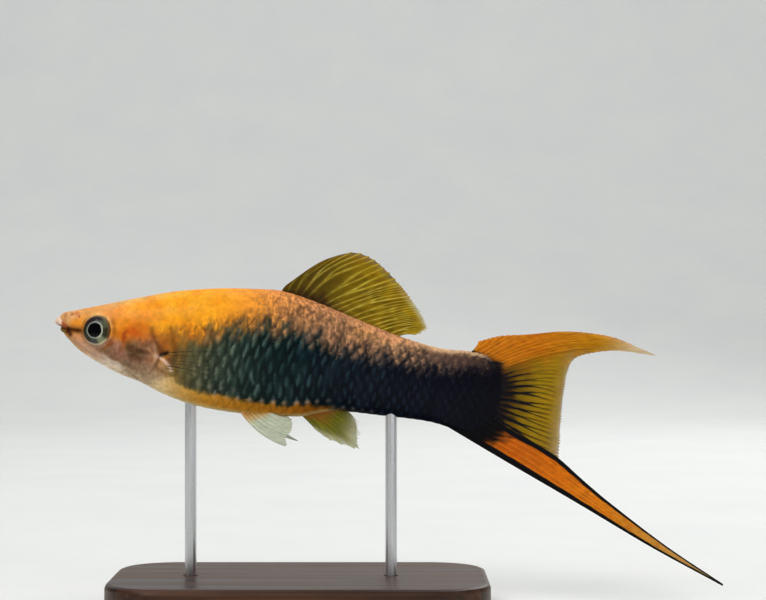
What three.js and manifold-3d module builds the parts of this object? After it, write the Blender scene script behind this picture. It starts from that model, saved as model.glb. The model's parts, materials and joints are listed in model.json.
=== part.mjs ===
// A male swordtail, an aquarium fish, as a life-size still model on a small display stand.
// Millimetres, +Z up. The origin is the middle of the stand's underside, and the fish faces -X.
// The fish is built in a frame of its own, which the last group tilts: there +X runs along its axis from the
// snout to the tail, +Z points to its back, and its left side is -Y.
import * as THREE from "three";
import { mergeVertices } from "three/addons/utils/BufferGeometryUtils.js";
import Module from "manifold-3d";

const wasm = await Module();
wasm.setup();

// Driving dimensions
const BODY_LENGTH = 75; // snout to the end of the tail stem
const BODY_START = 0.3; // the front of the snout, behind the lips
const NOSE_UP_DEG = 9;
const SNOUT_X = -41.3; // sets the stand under the balance point
const SWORD_TIP = { x: 119, z: -26.7 };
const SWORD_TIP_HEIGHT = 4; // over the surface the stand is on
const GAP = 0.3; // between neighbouring pieces
const LEFT = -1;
const RIGHT = 1;
const SIDE = 14; // half the width of a block that cuts through the whole fish
const FAR = 30; // a height beyond the fish's back and belly

const GILL_EDGE_X = 18.4; // the hindmost point of the gill covers
const TAIL_STEM_X = 50.6; // where the trunk ends and the tail stem starts
const EYE = { x: 7.38, z: -0.18, radius: 2.56, halfDepth: 1.28, sunk: 0.42 };

const MEMBRANE = 0.5; // thickness of a fin between its rays
const RAY_RIDGE = 0.2; // how far a ray stands out of the membrane on each face
const RAY_OVERRUN = 0.28; // how far a ray's tip reaches past the membrane
const ROOT_DEPTH = 1.4; // how deep a fin's sheet starts inside the body before it is cut

const BASE = { length: 64, width: 38, height: 6, corner: 9, chamfer: 0.8 };
const ROD = { radius: 1, sides: 12, socketDepth: 4, sunkInBody: 2.6 };
const ROD_FRONT_X = 24.6; // along the fish's axis
const ROD_REAR_X = 58.6;

// Smooth curves through a few measured points

// The value at x of a smooth curve through [x, value] pairs. Each slope comes from the neighbours.
function through(pairs) {
  const last = pairs.length - 1;
  const slopeAt = (k) => {
    const [a, b] = [pairs[Math.max(k - 1, 0)], pairs[Math.min(k + 1, last)]];
    return (b[1] - a[1]) / (b[0] - a[0]);
  };
  return (x) => {
    if (x <= pairs[0][0]) return pairs[0][1];
    if (x >= pairs[last][0]) return pairs[last][1];
    let i = 0;
    while (pairs[i + 1][0] < x) i++;
    const width = pairs[i + 1][0] - pairs[i][0];
    const t = (x - pairs[i][0]) / width;
    const [t2, t3] = [t * t, t * t * t];
    return (
      (2 * t3 - 3 * t2 + 1) * pairs[i][1] +
      (t3 - 2 * t2 + t) * width * slopeAt(i) +
      (3 * t2 - 2 * t3) * pairs[i + 1][1] +
      (t3 - t2) * width * slopeAt(i + 1)
    );
  };
}

// The same for rows of [u, x, z]: a point of the fish's side view for each u from 0 to 1.
function curve(rows) {
  const x = through(rows.map((r) => [r[0], r[1]]));
  const z = through(rows.map((r) => [r[0], r[2]]));
  return (u) => ({ x: x(u), z: z(u) });
}

const mix = (a, b, t) => a + (b - a) * t;
const clamp01 = (t) => Math.min(1, Math.max(0, t));
const smoothstep = (a, b, x) => {
  const t = clamp01((x - a) / (b - a));
  return t * t * (3 - 2 * t);
};

// A seeded draw from 0 to 1, so that every build is the same.
function seededDraw(seed) {
  let state = seed;
  return () => {
    state = (state * 1664525 + 1013904223) % 4294967296;
    return state / 4294967296;
  };
}

// Solids

function solidOf(geometry) {
  const plain = geometry.index ? geometry.toNonIndexed() : geometry.clone();
  const bare = new THREE.BufferGeometry().setAttribute("position", plain.getAttribute("position"));
  const merged = mergeVertices(bare, 1e-4);
  return new wasm.Manifold(
    new wasm.Mesh({
      numProp: 3,
      vertProperties: merged.attributes.position.array,
      triVerts: new Uint32Array(merged.index.array),
    }),
  );
}

// A solid from points and triangles, turned inside out where they face inwards.
function closedSolid(points, faces) {
  const make = () => solidOf(new THREE.BufferGeometry().setFromPoints(points).setIndex(faces));
  const solid = make();
  if (solid.volume() > 0) return solid;
  for (let k = 0; k < faces.length; k += 3) {
    [faces[k + 1], faces[k + 2]] = [faces[k + 2], faces[k + 1]];
  }
  return make();
}

// The largest closed body of a solid, as a geometry.
function geometryOf(solid) {
  const bodies = solid.decompose().sort((a, b) => b.volume() - a.volume());
  const mesh = bodies[0].getMesh();
  const position = new Float32Array(mesh.numVert * 3);
  for (let i = 0; i < mesh.numVert; i++) {
    position.set(mesh.vertProperties.subarray(i * mesh.numProp, i * mesh.numProp + 3), i * 3);
  }
  const geometry = new THREE.BufferGeometry();
  geometry.setAttribute("position", new THREE.BufferAttribute(position, 3));
  geometry.setIndex(new THREE.BufferAttribute(new Uint32Array(mesh.triVerts), 1));
  geometry.computeVertexNormals();
  return geometry;
}

// A closed skin over rings of points, each ring with the same count, with a fan over each end.
function loft(rings) {
  const count = rings[0].length;
  const middle = (ring) =>
    ring.reduce((sum, p) => sum.add(p), new THREE.Vector3()).divideScalar(ring.length);
  const points = [middle(rings[0]), ...rings.flat(), middle(rings.at(-1))];
  const end = points.length - 1;
  const at = (ring, k) => 1 + ring * count + (k % count);
  const faces = [];
  for (let k = 0; k < count; k++) faces.push(0, at(0, k + 1), at(0, k));
  for (let r = 0; r + 1 < rings.length; r++) {
    for (let k = 0; k < count; k++) {
      faces.push(at(r, k), at(r, k + 1), at(r + 1, k + 1));
      faces.push(at(r, k), at(r + 1, k + 1), at(r + 1, k));
    }
  }
  for (let k = 0; k < count; k++) faces.push(end, at(rings.length - 1, k), at(rings.length - 1, k + 1));
  return closedSolid(points, faces);
}

// A block whose outline is drawn in the side view, between two values of Y.
function sideBlock(outline, yFrom, yTo) {
  const shape = new THREE.Shape(outline.map(([x, z]) => new THREE.Vector2(x, z)));
  const block = new THREE.ExtrudeGeometry(shape, { depth: yTo - yFrom, bevelEnabled: false });
  return block.rotateX(Math.PI / 2).translate(0, yTo, 0);
}

// Body: its outlines from the side, its half width, and the roundness of its cross-section

const backAt = through([
  [0.3, 0.95], [0.8, 1.75], [2.7, 2.5], [6, 3.7], [10, 5.2], [14, 6.65], [19, 8.35], [26.5, 10.05],
  [33, 10.95], [37, 11.25], [43.7, 10.15], [50.8, 8.4], [58, 6.75], [65, 5.85], [70, 6.1], [73, 5.9],
  [75, 4.7],
]);
const bellyAt = through([
  [0.3, -0.5], [0.8, -1.25], [2.1, -2.25], [4.6, -4.1], [8.3, -5.75], [12, -7.0], [15.5, -7.75], [19.2, -9.0],
  [24, -10.05], [29.7, -10.45], [36.6, -10.15], [43.3, -9.3], [47, -8.0], [50, -7.35], [56.7, -7.0],
  [65, -6.75], [70.5, -7.4], [73, -7.3], [75, -5.9],
]);
const halfWidthAt = through([
  [0.3, 1.0], [0.8, 1.45], [2.5, 2.25], [6, 3.45], [10, 4.5], [15, 5.3], [21, 5.65], [28, 5.6],
  [36, 5.2], [43, 4.5], [50, 3.7], [58, 2.85], [65, 2.1], [70, 1.45], [73, 1.0], [75, 0.7],
]);
const widestAt = through([
  [0.3, 0], [6, -0.8], [12, -1.2], [20, -0.8], [30, 0.2], [40, 0.6], [50, 0.4], [65, -0.3], [75, -0.6],
]);
const upperRoundness = through([[0, 2.2], [4, 2.7], [9, 2.6], [16, 2.2], [30, 2], [50, 1.9], [75, 2]]);
const lowerRoundness = through([[0, 2.1], [10, 2.1], [25, 2], [45, 1.85], [75, 2]]);

// The gill covers stand a little proud, most at their hind edge, behind a groove at the cheek.
const CHEEK_GROOVE_X = 12.4;
function headRelief(x, z) {
  const level = smoothstep(-6.8, -4.6, z) * (1 - smoothstep(1.6, 3.2, z));
  const cover = 0.32 * smoothstep(CHEEK_GROOVE_X, GILL_EDGE_X, x) * (1 - smoothstep(GILL_EDGE_X, 20, x));
  const groove = -0.22 * Math.exp(-(((x - CHEEK_GROOVE_X) / 0.55) ** 2));
  return level * (cover + groove);
}

const POINTS_ROUND = 36;
function bodyRing(x, grow) {
  const [top, bottom, wide] = [backAt(x) + grow, bellyAt(x) - grow, widestAt(x)];
  const ring = [];
  for (let k = 0; k < POINTS_ROUND; k++) {
    const turn = (2 * Math.PI * k) / POINTS_ROUND;
    const [c, s] = [Math.cos(turn), Math.sin(turn)];
    const power = 2 / (s > 0 ? upperRoundness(x) : lowerRoundness(x));
    const z = wide + Math.abs(s) ** power * (s > 0 ? top - wide : bottom - wide);
    const y = Math.sign(c) * Math.abs(c) ** power * (halfWidthAt(x) + grow + headRelief(x, z));
    ring.push(new THREE.Vector3(x, y, z));
  }
  return ring;
}

// The half width of the body at a height, and the way its surface faces there.
function sideAt(x, z) {
  const wide = widestAt(x);
  const reach = z > wide ? (z - wide) / (backAt(x) - wide) : (z - wide) / (bellyAt(x) - wide);
  const n = z > wide ? upperRoundness(x) : lowerRoundness(x);
  return (halfWidthAt(x) + headRelief(x, z)) * Math.max(0, 1 - reach ** n) ** (1 / n);
}
function outwardAt(x, z, side) {
  const step = 0.1;
  const alongX = (sideAt(x + step, z) - sideAt(x - step, z)) / (2 * step);
  const alongZ = (sideAt(x, z + step) - sideAt(x, z - step)) / (2 * step);
  return new THREE.Vector3(-alongX, side, -alongZ).normalize();
}

// Where the rings stand: closer together on the head.
function ringPlaces(from, to, spacing) {
  const places = [];
  for (let x = from; x < to - 0.3 * spacing(x); x += spacing(x)) places.push(x);
  return [...places, to];
}

const ringSpacing = (x) => {
  const head = mix(0.5, 1.3, smoothstep(0.3, 7, x));
  return mix(mix(head, 2.8, smoothstep(16, 26, x)), 1.6, smoothstep(60, 68, x));
};
const ringsAlongBody = ringPlaces(BODY_START, BODY_LENGTH, ringSpacing);
const wholeBody = () => loft(ringsAlongBody.map((x) => bodyRing(x, 0)));

// The body grown by the gap, which cuts the root of each fin and rod.
function bodyClearance() {
  const rings = ringsAlongBody.map((x) => bodyRing(x, GAP));
  rings.push(rings.at(-1).map((p) => p.clone().setX(BODY_LENGTH + GAP)));
  return loft(rings);
}

// Head

const gillEdge = curve([
  [0, 12.8, 9.5], [0.2, 13.4, 5.4], [0.33, 14.7, 3.0], [0.45, 16.7, 1.3], [0.57, 17.9, -0.9],
  [0.68, GILL_EDGE_X, -3.1], [0.8, 17.6, -5.3], [0.9, 16.0, -7.2], [1, 14.0, -9.6],
]);
const GILL_STEPS = 18;
function gillLine(shift) {
  return Array.from({ length: GILL_STEPS + 1 }, (_, i) => {
    const p = gillEdge(i / GILL_STEPS);
    return [p.x + shift, p.z];
  });
}

// Each lip is a bent roll from one corner of the mouth round the front to the other.
const MOUTH_CORNER = { x: 2.7, y: 1.95, z: -1.75 };
function lip(front, radiusFront, radiusCorner) {
  const rings = [];
  const steps = 14;
  for (let i = 0; i <= steps; i++) {
    const t = (2 * i) / steps - 1;
    const bend = Math.abs(t) ** 2.2;
    const centre = new THREE.Vector3(
      mix(front.x, MOUTH_CORNER.x, bend),
      MOUTH_CORNER.y * Math.sin((t * Math.PI) / 2),
      mix(front.z, MOUTH_CORNER.z + front.cornerLift, bend),
    );
    const radius = mix(radiusFront, radiusCorner, bend);
    const along = new THREE.Vector3(t * 1.8, 1.1 - Math.abs(t), 0).normalize();
    const across = new THREE.Vector3(-along.y, along.x, 0);
    const ring = [];
    for (let k = 0; k < 10; k++) {
      const turn = (2 * Math.PI * k) / 10;
      ring.push(
        centre
          .clone()
          .addScaledVector(across, radius * Math.cos(turn))
          .add(new THREE.Vector3(0, 0, radius * Math.sin(turn))),
      );
    }
    rings.push(ring);
  }
  return loft(rings);
}
const upperLip = lip({ x: 0.42, z: 0.35, cornerLift: 0.4 }, 0.68, 0.4);
const lowerLip = lip({ x: 0.95, z: -1.05, cornerLift: -0.35 }, 0.52, 0.36);

// The mouth is a slit that slants down to its corners.
function mouthSlit() {
  const half = 0.13;
  const line = [[-0.9, -0.34], [0.8, -0.62], [2.75, -1.75]];
  const below = line.map(([x, z]) => [x, z - half]);
  const above = line.map(([x, z]) => [x, z + half]);
  return solidOf(sideBlock([...below, ...above.reverse()], -3, 3));
}

const NOSTRILS = [{ x: 2.5, z: 1.75, radius: 0.34 }, { x: 3.9, z: 1.6, radius: 0.28 }];
function nostril({ x, z, radius }, side) {
  const pit = new THREE.IcosahedronGeometry(radius, 1);
  return solidOf(pit.translate(x, side * sideAt(x, z), z));
}

function eyeball(side, grow) {
  const outward = outwardAt(EYE.x, EYE.z, side);
  const turn = new THREE.Quaternion().setFromUnitVectors(new THREE.Vector3(0, 1, 0), outward);
  const [radius, halfDepth] = [EYE.radius + grow, EYE.halfDepth + grow];
  const ball = new THREE.SphereGeometry(1, 22, 11).scale(radius, halfDepth, radius);
  const centre = new THREE.Vector3(EYE.x, side * sideAt(EYE.x, EYE.z), EYE.z);
  centre.addScaledVector(outward, -EYE.sunk);
  return ball.applyQuaternion(turn).translate(centre.x, centre.y, centre.z);
}

// A gill cover is the side of the head between the cheek and the gill opening.
const COVER_INNER_Y = 3.1;
const COVER_OUTLINE = [
  [12.8, 1.5], [13.8, 2.6], [15.1, 2.6], [16.8, 1.3], [GILL_EDGE_X, -0.9], [GILL_EDGE_X + 0.4, -3.1],
  [17.7, -5.1], [16, -5.9], [14, -5.8], [12.5, -5.1], [12.8, -3], [13.1, -1],
];
function coverBlock(side, grow) {
  const middle = { x: 15.5, z: -1.8 };
  const outline = COVER_OUTLINE.map(([x, z]) => {
    const away = new THREE.Vector2(x - middle.x, z - middle.z);
    away.setLength(away.length() + grow);
    return [middle.x + away.x, middle.z + away.y];
  });
  const inner = COVER_INNER_Y - grow;
  return solidOf(side > 0 ? sideBlock(outline, inner, 9) : sideBlock(outline, -9, -inner));
}

// Fins

const membraneHalf = (v) => (MEMBRANE / 2) * mix(1, 0.65, smoothstep(0.75, 1, v));
const rayRidge = (v) => RAY_RIDGE * mix(1, 0.35, v) * smoothstep(0.05, 0.25, v);

// A fin is one closed sheet. path(u, v) is its place in the side view: u runs from its first ray to its last,
// and v from the root, inside the body, to the tip. Every second column of the sheet is a ray, which stands
// out of both faces as a ridge. place(x, z) gives the sheet's distance from the fish's middle plane.
function finSheet(options) {
  const plain = { seed: 1, overrun: RAY_OVERRUN, half: membraneHalf, ridge: rayRidge };
  const { path, rays, rows, place, seed, overrun, half, ridge } = { ...plain, ...options };
  const columns = 2 * rays;
  const isRay = (i) => i % 2 === 1;
  const draw = seededDraw(seed);
  const share = Array.from({ length: columns + 1 }, (_, i) => (isRay(i) ? 1 - 0.4 * draw() : -0.3 * draw()));
  const centreAt = (i, v) => {
    const u = i / columns;
    const [a, b] = [path(u, 0), path(u, 1)];
    const extra = (share[i] * overrun) / Math.hypot(b.x - a.x, b.z - a.z);
    const { x, z } = path(u, v * (1 + extra));
    return new THREE.Vector3(x, place(x, z), z);
  };
  const front = [];
  const back = [];
  for (let j = 0; j <= rows; j++) {
    const v = j / rows;
    for (let i = 0; i <= columns; i++) {
      const along = centreAt(i, Math.min(v + 0.05, 1)).sub(centreAt(i, Math.max(v - 0.05, 0)));
      const normal = centreAt(Math.min(i + 1, columns), v).sub(centreAt(Math.max(i - 1, 0), v)).cross(along);
      normal.setLength(half(v) + (isRay(i) ? ridge(v, i) : 0));
      if (normal.y > 0) normal.negate();
      front.push(centreAt(i, v).add(normal));
      back.push(centreAt(i, v).sub(normal));
    }
  }
  const behind = front.length;
  const at = (i, j) => j * (columns + 1) + i;
  const faces = [];
  for (let j = 0; j < rows; j++) {
    for (let i = 0; i < columns; i++) {
      const [a, b, c, d] = [at(i, j), at(i + 1, j), at(i + 1, j + 1), at(i, j + 1)];
      const halves = isRay(i) ? [[a, b, d], [b, c, d]] : [[a, b, c], [a, c, d]];
      for (const [p, q, r] of halves) faces.push(p, q, r, behind + p, behind + r, behind + q);
    }
  }
  const wall = (p, q) => faces.push(q, p, behind + p, q, behind + p, behind + q);
  for (let i = 0; i < columns; i++) {
    wall(at(i, 0), at(i + 1, 0));
    wall(at(i + 1, rows), at(i, rows));
  }
  for (let j = 0; j < rows; j++) {
    wall(at(0, j + 1), at(0, j));
    wall(at(columns, j), at(columns, j + 1));
  }
  return closedSolid([...front, ...back], faces);
}

// Rays that bend once: from root(u) through middle(u) to tip(u).
function bentRays(root, middle, tip) {
  return (u, v) => {
    const [a, m, b] = [root(u), middle(u), tip(u)];
    const bend = (k) => {
      const control = 2 * m[k] - 0.5 * (a[k] + b[k]);
      return (1 - v) * (1 - v) * a[k] + 2 * v * (1 - v) * control + v * v * b[k];
    };
    return { x: bend("x"), z: bend("z") };
  };
}

// The middle of rays that bow off the straight line, by so much at the first ray and at the last one.
function bowed(root, tip, bowFirst, bowLast) {
  return (u) => {
    const [a, b] = [root(u), tip(u)];
    const push = mix(bowFirst, bowLast, u) / Math.hypot(b.x - a.x, b.z - a.z);
    return { x: (a.x + b.x) / 2 - (b.z - a.z) * push, z: (a.z + b.z) / 2 + (b.x - a.x) * push };
  };
}

function dorsalFin() {
  const from = 37.3;
  const to = 57.1;
  const root = (u) => {
    const x = mix(from, to, u);
    return { x: x - 0.6, z: backAt(x) - ROOT_DEPTH };
  };
  const tip = curve([
    [0, 39.0, 13.5], [0.05, 42.0, 16.7], [0.1, 45.0, 18.6], [0.15, 48.2, 19.7], [0.22, 51.5, 19.05],
    [0.3, 54.2, 17.4], [0.38, 56.4, 15.7], [0.46, 57.8, 14.5], [0.55, 59.0, 13.3], [0.68, 60.8, 11.4],
    [0.82, 61.9, 9.9], [0.92, 62.3, 8.7], [1, 60.9, 7.35],
  ]);
  const place = (x, z) => 0.45 * Math.sin((x - from) / 6) * smoothstep(10, 18, z);
  const path = bentRays(root, bowed(root, tip, 0.7, 0.7), tip);
  return finSheet({ path, rays: 13, rows: 8, place, seed: 3 });
}

// The tail fin is one sheet from a spur and a long upper lobe down to a fan, with the sword under it.
const tailPlace = (x) => 0.9 * Math.sin((x - BODY_LENGTH) / 15) * smoothstep(BODY_LENGTH, 90, x);
const TAIL_RAYS = 18;
const LONGEST = 7.5 / TAIL_RAYS; // the lobe's longest ray, the eighth, as a share of all the rays
const LOBE_END = 0.5; // where the lobe ends and the fan starts
const tailPath = bentRays(
  curve([[0, 69.6, 5.3], [0.2, 72.4, 4.4], [0.5, 73.6, 2.2], [0.75, 73.6, -0.6], [1, 73.0, -3.4]]),
  curve([
    [0, 70.9, 6.9], [0.12, 76, 8.4], [0.24, 80.6, 9.2], [0.3, 83, 9.4], [0.36, 86, 9.5],
    [LONGEST, 88, 9.55], [0.45, 86.2, 8.5], [0.48, 83.5, 7.5], [0.53, 81.8, 6.3], [0.6, 81.3, 4.7],
    [0.68, 81.3, 2.6], [0.76, 81.4, 0.1], [0.84, 81.4, -2.4], [0.92, 81.3, -4.6], [1, 81.0, -6.9],
  ]),
  curve([
    [0, 71.2, 8.0], [0.06, 74.7, 9.5], [0.12, 79.7, 10.6], [0.18, 84.7, 11.85], [0.24, 88.9, 12.35],
    [0.3, 94.1, 12.3], [0.36, 98.6, 11.2], [LONGEST, 101.3, 10.3], [0.45, 95.5, 10.2], [0.48, 91.4, 9.3],
    [0.53, 88.2, 7.8], [0.6, 87.1, 5.4], [0.68, 87, 2.6], [0.76, 87.1, -0.1], [0.84, 87.3, -2.9],
    [0.92, 87.6, -5.8], [1, 88.0, -9.6],
  ]),
);
// Everything on one side of a line in the side view, which a few of its points give. up is 1 or -1.
function sideOfLine(points, up, shift) {
  const line = points.map((p, i) => {
    const [a, b] = [points[Math.max(i - 1, 0)], points[Math.min(i + 1, points.length - 1)]];
    const push = (up * shift) / Math.hypot(b.x - a.x, b.z - a.z);
    return [p.x - (b.z - a.z) * push, p.z + (b.x - a.x) * push];
  });
  const [front, back] = [line[0][0] - FAR, line.at(-1)[0] + FAR];
  const outline = [[front, line[0][1]], ...line, [back, line.at(-1)[1]], [back, up * FAR], [front, up * FAR]];
  return solidOf(sideBlock(outline, -SIDE, SIDE));
}
function tailSheet() {
  const lobeRay = Array.from({ length: 13 }, (_, i) => tailPath(LOBE_END, -0.6 + 0.2 * i));
  const swordLine = Array.from({ length: 9 }, (_, i) => swordUpper(i / 16));
  swordLine.unshift({ x: swordLine[0].x - 4, z: swordLine[0].z + 2.4 });
  const sheet = finSheet({ path: tailPath, rays: TAIL_RAYS, rows: 9, place: tailPlace, seed: 5 });
  return {
    lobe: sheet.intersect(sideOfLine(lobeRay, 1, GAP / 2)),
    fan: sheet.intersect(sideOfLine(lobeRay, -1, GAP / 2)).intersect(sideOfLine(swordLine, 1, GAP)),
  };
}

const swordLower = curve([
  [0, 66.2, -6.3], [0.25, 79, -11.4], [0.5, 92.5, -16.7], [0.75, 106, -22.1], [1, SWORD_TIP.x, SWORD_TIP.z],
]);
const swordUpper = curve([
  [0, 75.6, -4.5], [0.08, 79.4, -6.1], [0.16, 83.2, -7.5], [0.25, 87.5, -9.3], [0.37, 92.5, -12.5],
  [0.5, 97.6, -15.6], [0.75, 108.5, -21.5], [1, SWORD_TIP.x, SWORD_TIP.z + 0.35],
]);
function sword() {
  const rays = 5;
  const path = (u, v) => {
    const [a, b] = [swordLower(v), swordUpper(v)];
    return { x: mix(a.x, b.x, u), z: mix(a.z, b.z, u) };
  };
  const place = (x) => tailPlace(x) + 1.1 * smoothstep(85, 125, x);
  const half = (v) => mix(0.33, 0.17, v ** 1.5);
  const isEdgeRay = (i) => i === 1 || i === 2 * rays - 1;
  const ridge = (v, i) => (isEdgeRay(i) ? 1.3 : 0.8) * RAY_RIDGE * mix(1, 0.2, v);
  return finSheet({ path, rays, rows: 18, place, overrun: 0, half, ridge });
}

function analFin() {
  const root = (u) => {
    const x = mix(43.4, 49.6, u);
    return { x: x - 0.9, z: bellyAt(x) + ROOT_DEPTH };
  };
  const tip = curve([
    [0, 46.8, -11.7], [0.12, 49.2, -12.6], [0.24, 53.7, -13.3], [0.36, 53.9, -12.5], [0.52, 53.7, -11.2],
    [0.75, 53.5, -9.7], [1, 52.9, -8.3],
  ]);
  const place = (x) => 0.3 * Math.sin((x - 43) / 4);
  const path = bentRays(root, bowed(root, tip, 0.15, 0.15), tip);
  return finSheet({ path, rays: 8, rows: 5, place, seed: 11 });
}

function pelvicFin(side) {
  const swing = side === LEFT ? { x: 0, z: 0 } : { x: 1.7, z: 0.9 };
  const root = curve([[0, 32.4, -9.2], [1, 36.3, -8.9]]);
  const tip = curve([
    [0, 41.9 + swing.x, -14.7 + swing.z], [0.3, 42.3 + swing.x, -13.6 + swing.z],
    [0.65, 42.3 + swing.x, -12.1 + swing.z], [1, 41.6 + swing.x, -10.75 + 0.3 * swing.z],
  ]);
  const place = (x, z) => side * (1.05 + 0.3 * Math.max(0, -9.8 - z) + 0.1 * Math.max(0, x - 34));
  const path = bentRays(root, bowed(root, tip, -1.1, -0.2), tip);
  return finSheet({ path, rays: 6, rows: 6, place, seed: 17 + side });
}

function pectoralFin(side) {
  const root = curve([[0, 18.3, -2.2], [1, 19.2, -4.7]]);
  const tip = curve([
    [0, 28.9, 0.1], [0.2, 29.9, -1.0], [0.5, 29.9, -2.9], [0.8, 28.3, -4.9], [1, 26.4, -5.9],
  ]);
  const flare = 0.3; // sideways for each millimetre backwards
  const place = (x, z) => side * (4.75 + flare * (x - 18) + 0.12 * (z + 3));
  const path = bentRays(root, bowed(root, tip, 0.25, 0.25), tip);
  return finSheet({ path, rays: 8, rows: 5, place, seed: 23 + side });
}

// Stand

function standBase(rodPlaces) {
  const [l, w, r] = [BASE.length / 2 - BASE.chamfer, BASE.width / 2 - BASE.chamfer, BASE.corner];
  const outline = new THREE.Shape();
  outline.moveTo(-l + r, -w);
  outline.lineTo(l - r, -w);
  outline.absarc(l - r, -w + r, r, -Math.PI / 2, 0);
  outline.absarc(l - r, w - r, r, 0, Math.PI / 2);
  outline.absarc(-l + r, w - r, r, Math.PI / 2, Math.PI);
  outline.absarc(-l + r, -w + r, r, Math.PI, 1.5 * Math.PI);
  const slab = new THREE.ExtrudeGeometry(outline, {
    depth: BASE.height - 2 * BASE.chamfer,
    bevelThickness: BASE.chamfer,
    bevelSize: BASE.chamfer,
    bevelSegments: 2,
    curveSegments: 7,
  }).translate(0, 0, BASE.chamfer);
  let solid = solidOf(slab);
  for (const x of rodPlaces) {
    const radius = ROD.radius + GAP;
    const socket = new THREE.CylinderGeometry(radius, radius, 2 * ROD.socketDepth, ROD.sides);
    socket.rotateX(Math.PI / 2).translate(x, 0, BASE.height);
    solid = solid.subtract(solidOf(socket));
  }
  return geometryOf(solid);
}

// Placing: the fish's frame is tilted nose up and lifted so that the sword's tip clears the surface.
const tilt = THREE.MathUtils.degToRad(NOSE_UP_DEG);
const fish = new THREE.Group();
fish.rotation.y = tilt;
const tipDrop = SWORD_TIP.x * Math.sin(tilt) - SWORD_TIP.z * Math.cos(tilt);
fish.position.set(SNOUT_X, 0, SWORD_TIP_HEIGHT + tipDrop);
fish.updateMatrixWorld(true);
const toWorld = (x, z) => fish.localToWorld(new THREE.Vector3(x, 0, z));

// A rod stands in its socket in the base and ends inside the fish.
function rodAt(x) {
  const belly = toWorld(x, bellyAt(x));
  const foot = BASE.height - ROD.socketDepth + GAP;
  return { x: belly.x, foot, top: belly.z + ROD.sunkInBody };
}
function rodShape({ x, foot, top }, grow) {
  const rod = new THREE.CylinderGeometry(ROD.radius + grow, ROD.radius + grow, top - foot + grow, ROD.sides);
  return rod.rotateX(Math.PI / 2).translate(x, 0, (top + foot + grow) / 2);
}
const rods = { front: rodAt(ROD_FRONT_X), rear: rodAt(ROD_REAR_X) };

// Cutting the body into its parts
const tail = tailSheet();
const body = wholeBody();
const clearance = bodyClearance();
const inFish = (geometry) => geometry.clone().applyMatrix4(fish.matrixWorld.clone().invert());
const rodHoles = solidOf(inFish(rodShape(rods.front, GAP))).add(solidOf(inFish(rodShape(rods.rear, GAP))));

const frontRegion = solidOf(sideBlock([...gillLine(0), [-9, -9.6], [-9, 9.5]], -SIDE, SIDE));
const behindGills = [...gillLine(GAP), [TAIL_STEM_X, -FAR], [TAIL_STEM_X, FAR]];
const trunkRegion = solidOf(sideBlock(behindGills, -SIDE, SIDE));
const stemFront = TAIL_STEM_X + GAP;
const stemBack = BODY_LENGTH + 9;
const stemOutline = [[stemFront, FAR], [stemFront, -FAR], [stemBack, -FAR], [stemBack, FAR]];
const stemRegion = solidOf(sideBlock(stemOutline, -SIDE, SIDE));

let head = body.intersect(frontRegion).add(upperLip).add(lowerLip).subtract(mouthSlit());
const covers = {};
for (const [name, side] of [["left", LEFT], ["right", RIGHT]]) {
  head = head.subtract(solidOf(eyeball(side, GAP)));
  for (const place of NOSTRILS) head = head.subtract(nostril(place, side));
  covers[name] = body.intersect(frontRegion).intersect(coverBlock(side, 0));
  head = head.subtract(coverBlock(side, GAP));
}
const trunk = body.intersect(trunkRegion).subtract(rodHoles);
const stem = body.intersect(stemRegion).subtract(rodHoles);
const rooted = (solid) => geometryOf(solid.subtract(clearance));

// Materials
function paint(color, roughness, metalness = 0) {
  return new THREE.MeshStandardMaterial({ color, roughness, metalness });
}
const orangeSkin = paint(0xf09a30, 0.4);
const paleSkin = paint(0xc8a489, 0.4);
const darkSkin = paint(0x1f2a2c, 0.4);
const oliveFin = paint(0x8a7a1c, 0.5);
const orangeFin = paint(0xd8861a, 0.5);
const yellowFin = paint(0xb08f2a, 0.5);
const clearFin = paint(0xb9c2a6, 0.5);
const eyeGloss = paint(0x20231c, 0.1);
const steel = paint(0xb8babc, 0.3, 1);
const blackWood = paint(0x1a1918, 0.45);

function part(name, geometry, material) {
  const mesh = new THREE.Mesh(geometry, material);
  mesh.name = name;
  return mesh;
}

fish.add(
  part("head", geometryOf(head), orangeSkin),
  part("gill_cover_left", geometryOf(covers.left), paleSkin),
  part("gill_cover_right", geometryOf(covers.right), paleSkin),
  part("eye_left", eyeball(LEFT, 0), eyeGloss),
  part("eye_right", eyeball(RIGHT, 0), eyeGloss),
  part("trunk", geometryOf(trunk), darkSkin),
  part("tail_stem", geometryOf(stem), darkSkin),
  part("dorsal_fin", rooted(dorsalFin()), oliveFin),
  part("tail_fin_upper_lobe", rooted(tail.lobe), orangeFin),
  part("tail_fin_fan", rooted(tail.fan), yellowFin),
  part("tail_fin_sword", rooted(sword()), orangeFin),
  part("anal_fin", rooted(analFin()), yellowFin),
  part("pelvic_fin_left", rooted(pelvicFin(LEFT)), clearFin),
  part("pelvic_fin_right", rooted(pelvicFin(RIGHT)), clearFin),
  part("pectoral_fin_left", rooted(pectoralFin(LEFT)), clearFin),
  part("pectoral_fin_right", rooted(pectoralFin(RIGHT)), clearFin),
);

const model = new THREE.Group();
model.add(
  fish,
  part("stand_base", standBase([rods.front.x, rods.rear.x]), blackWood),
  part("stand_rod_front", rodShape(rods.front, 0), steel),
  part("stand_rod_rear", rodShape(rods.rear, 0), steel),
);

export default model;
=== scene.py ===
# A male swordtail as a life-size still model on a small display stand: skin, eyes, fins, stand and studio.
# The fish is drawn in millimetres in a frame of its own: +x runs from its snout to its tail, +z points to its
# back, and its left side is -y. to_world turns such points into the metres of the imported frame.
import itertools
import json
import math

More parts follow.
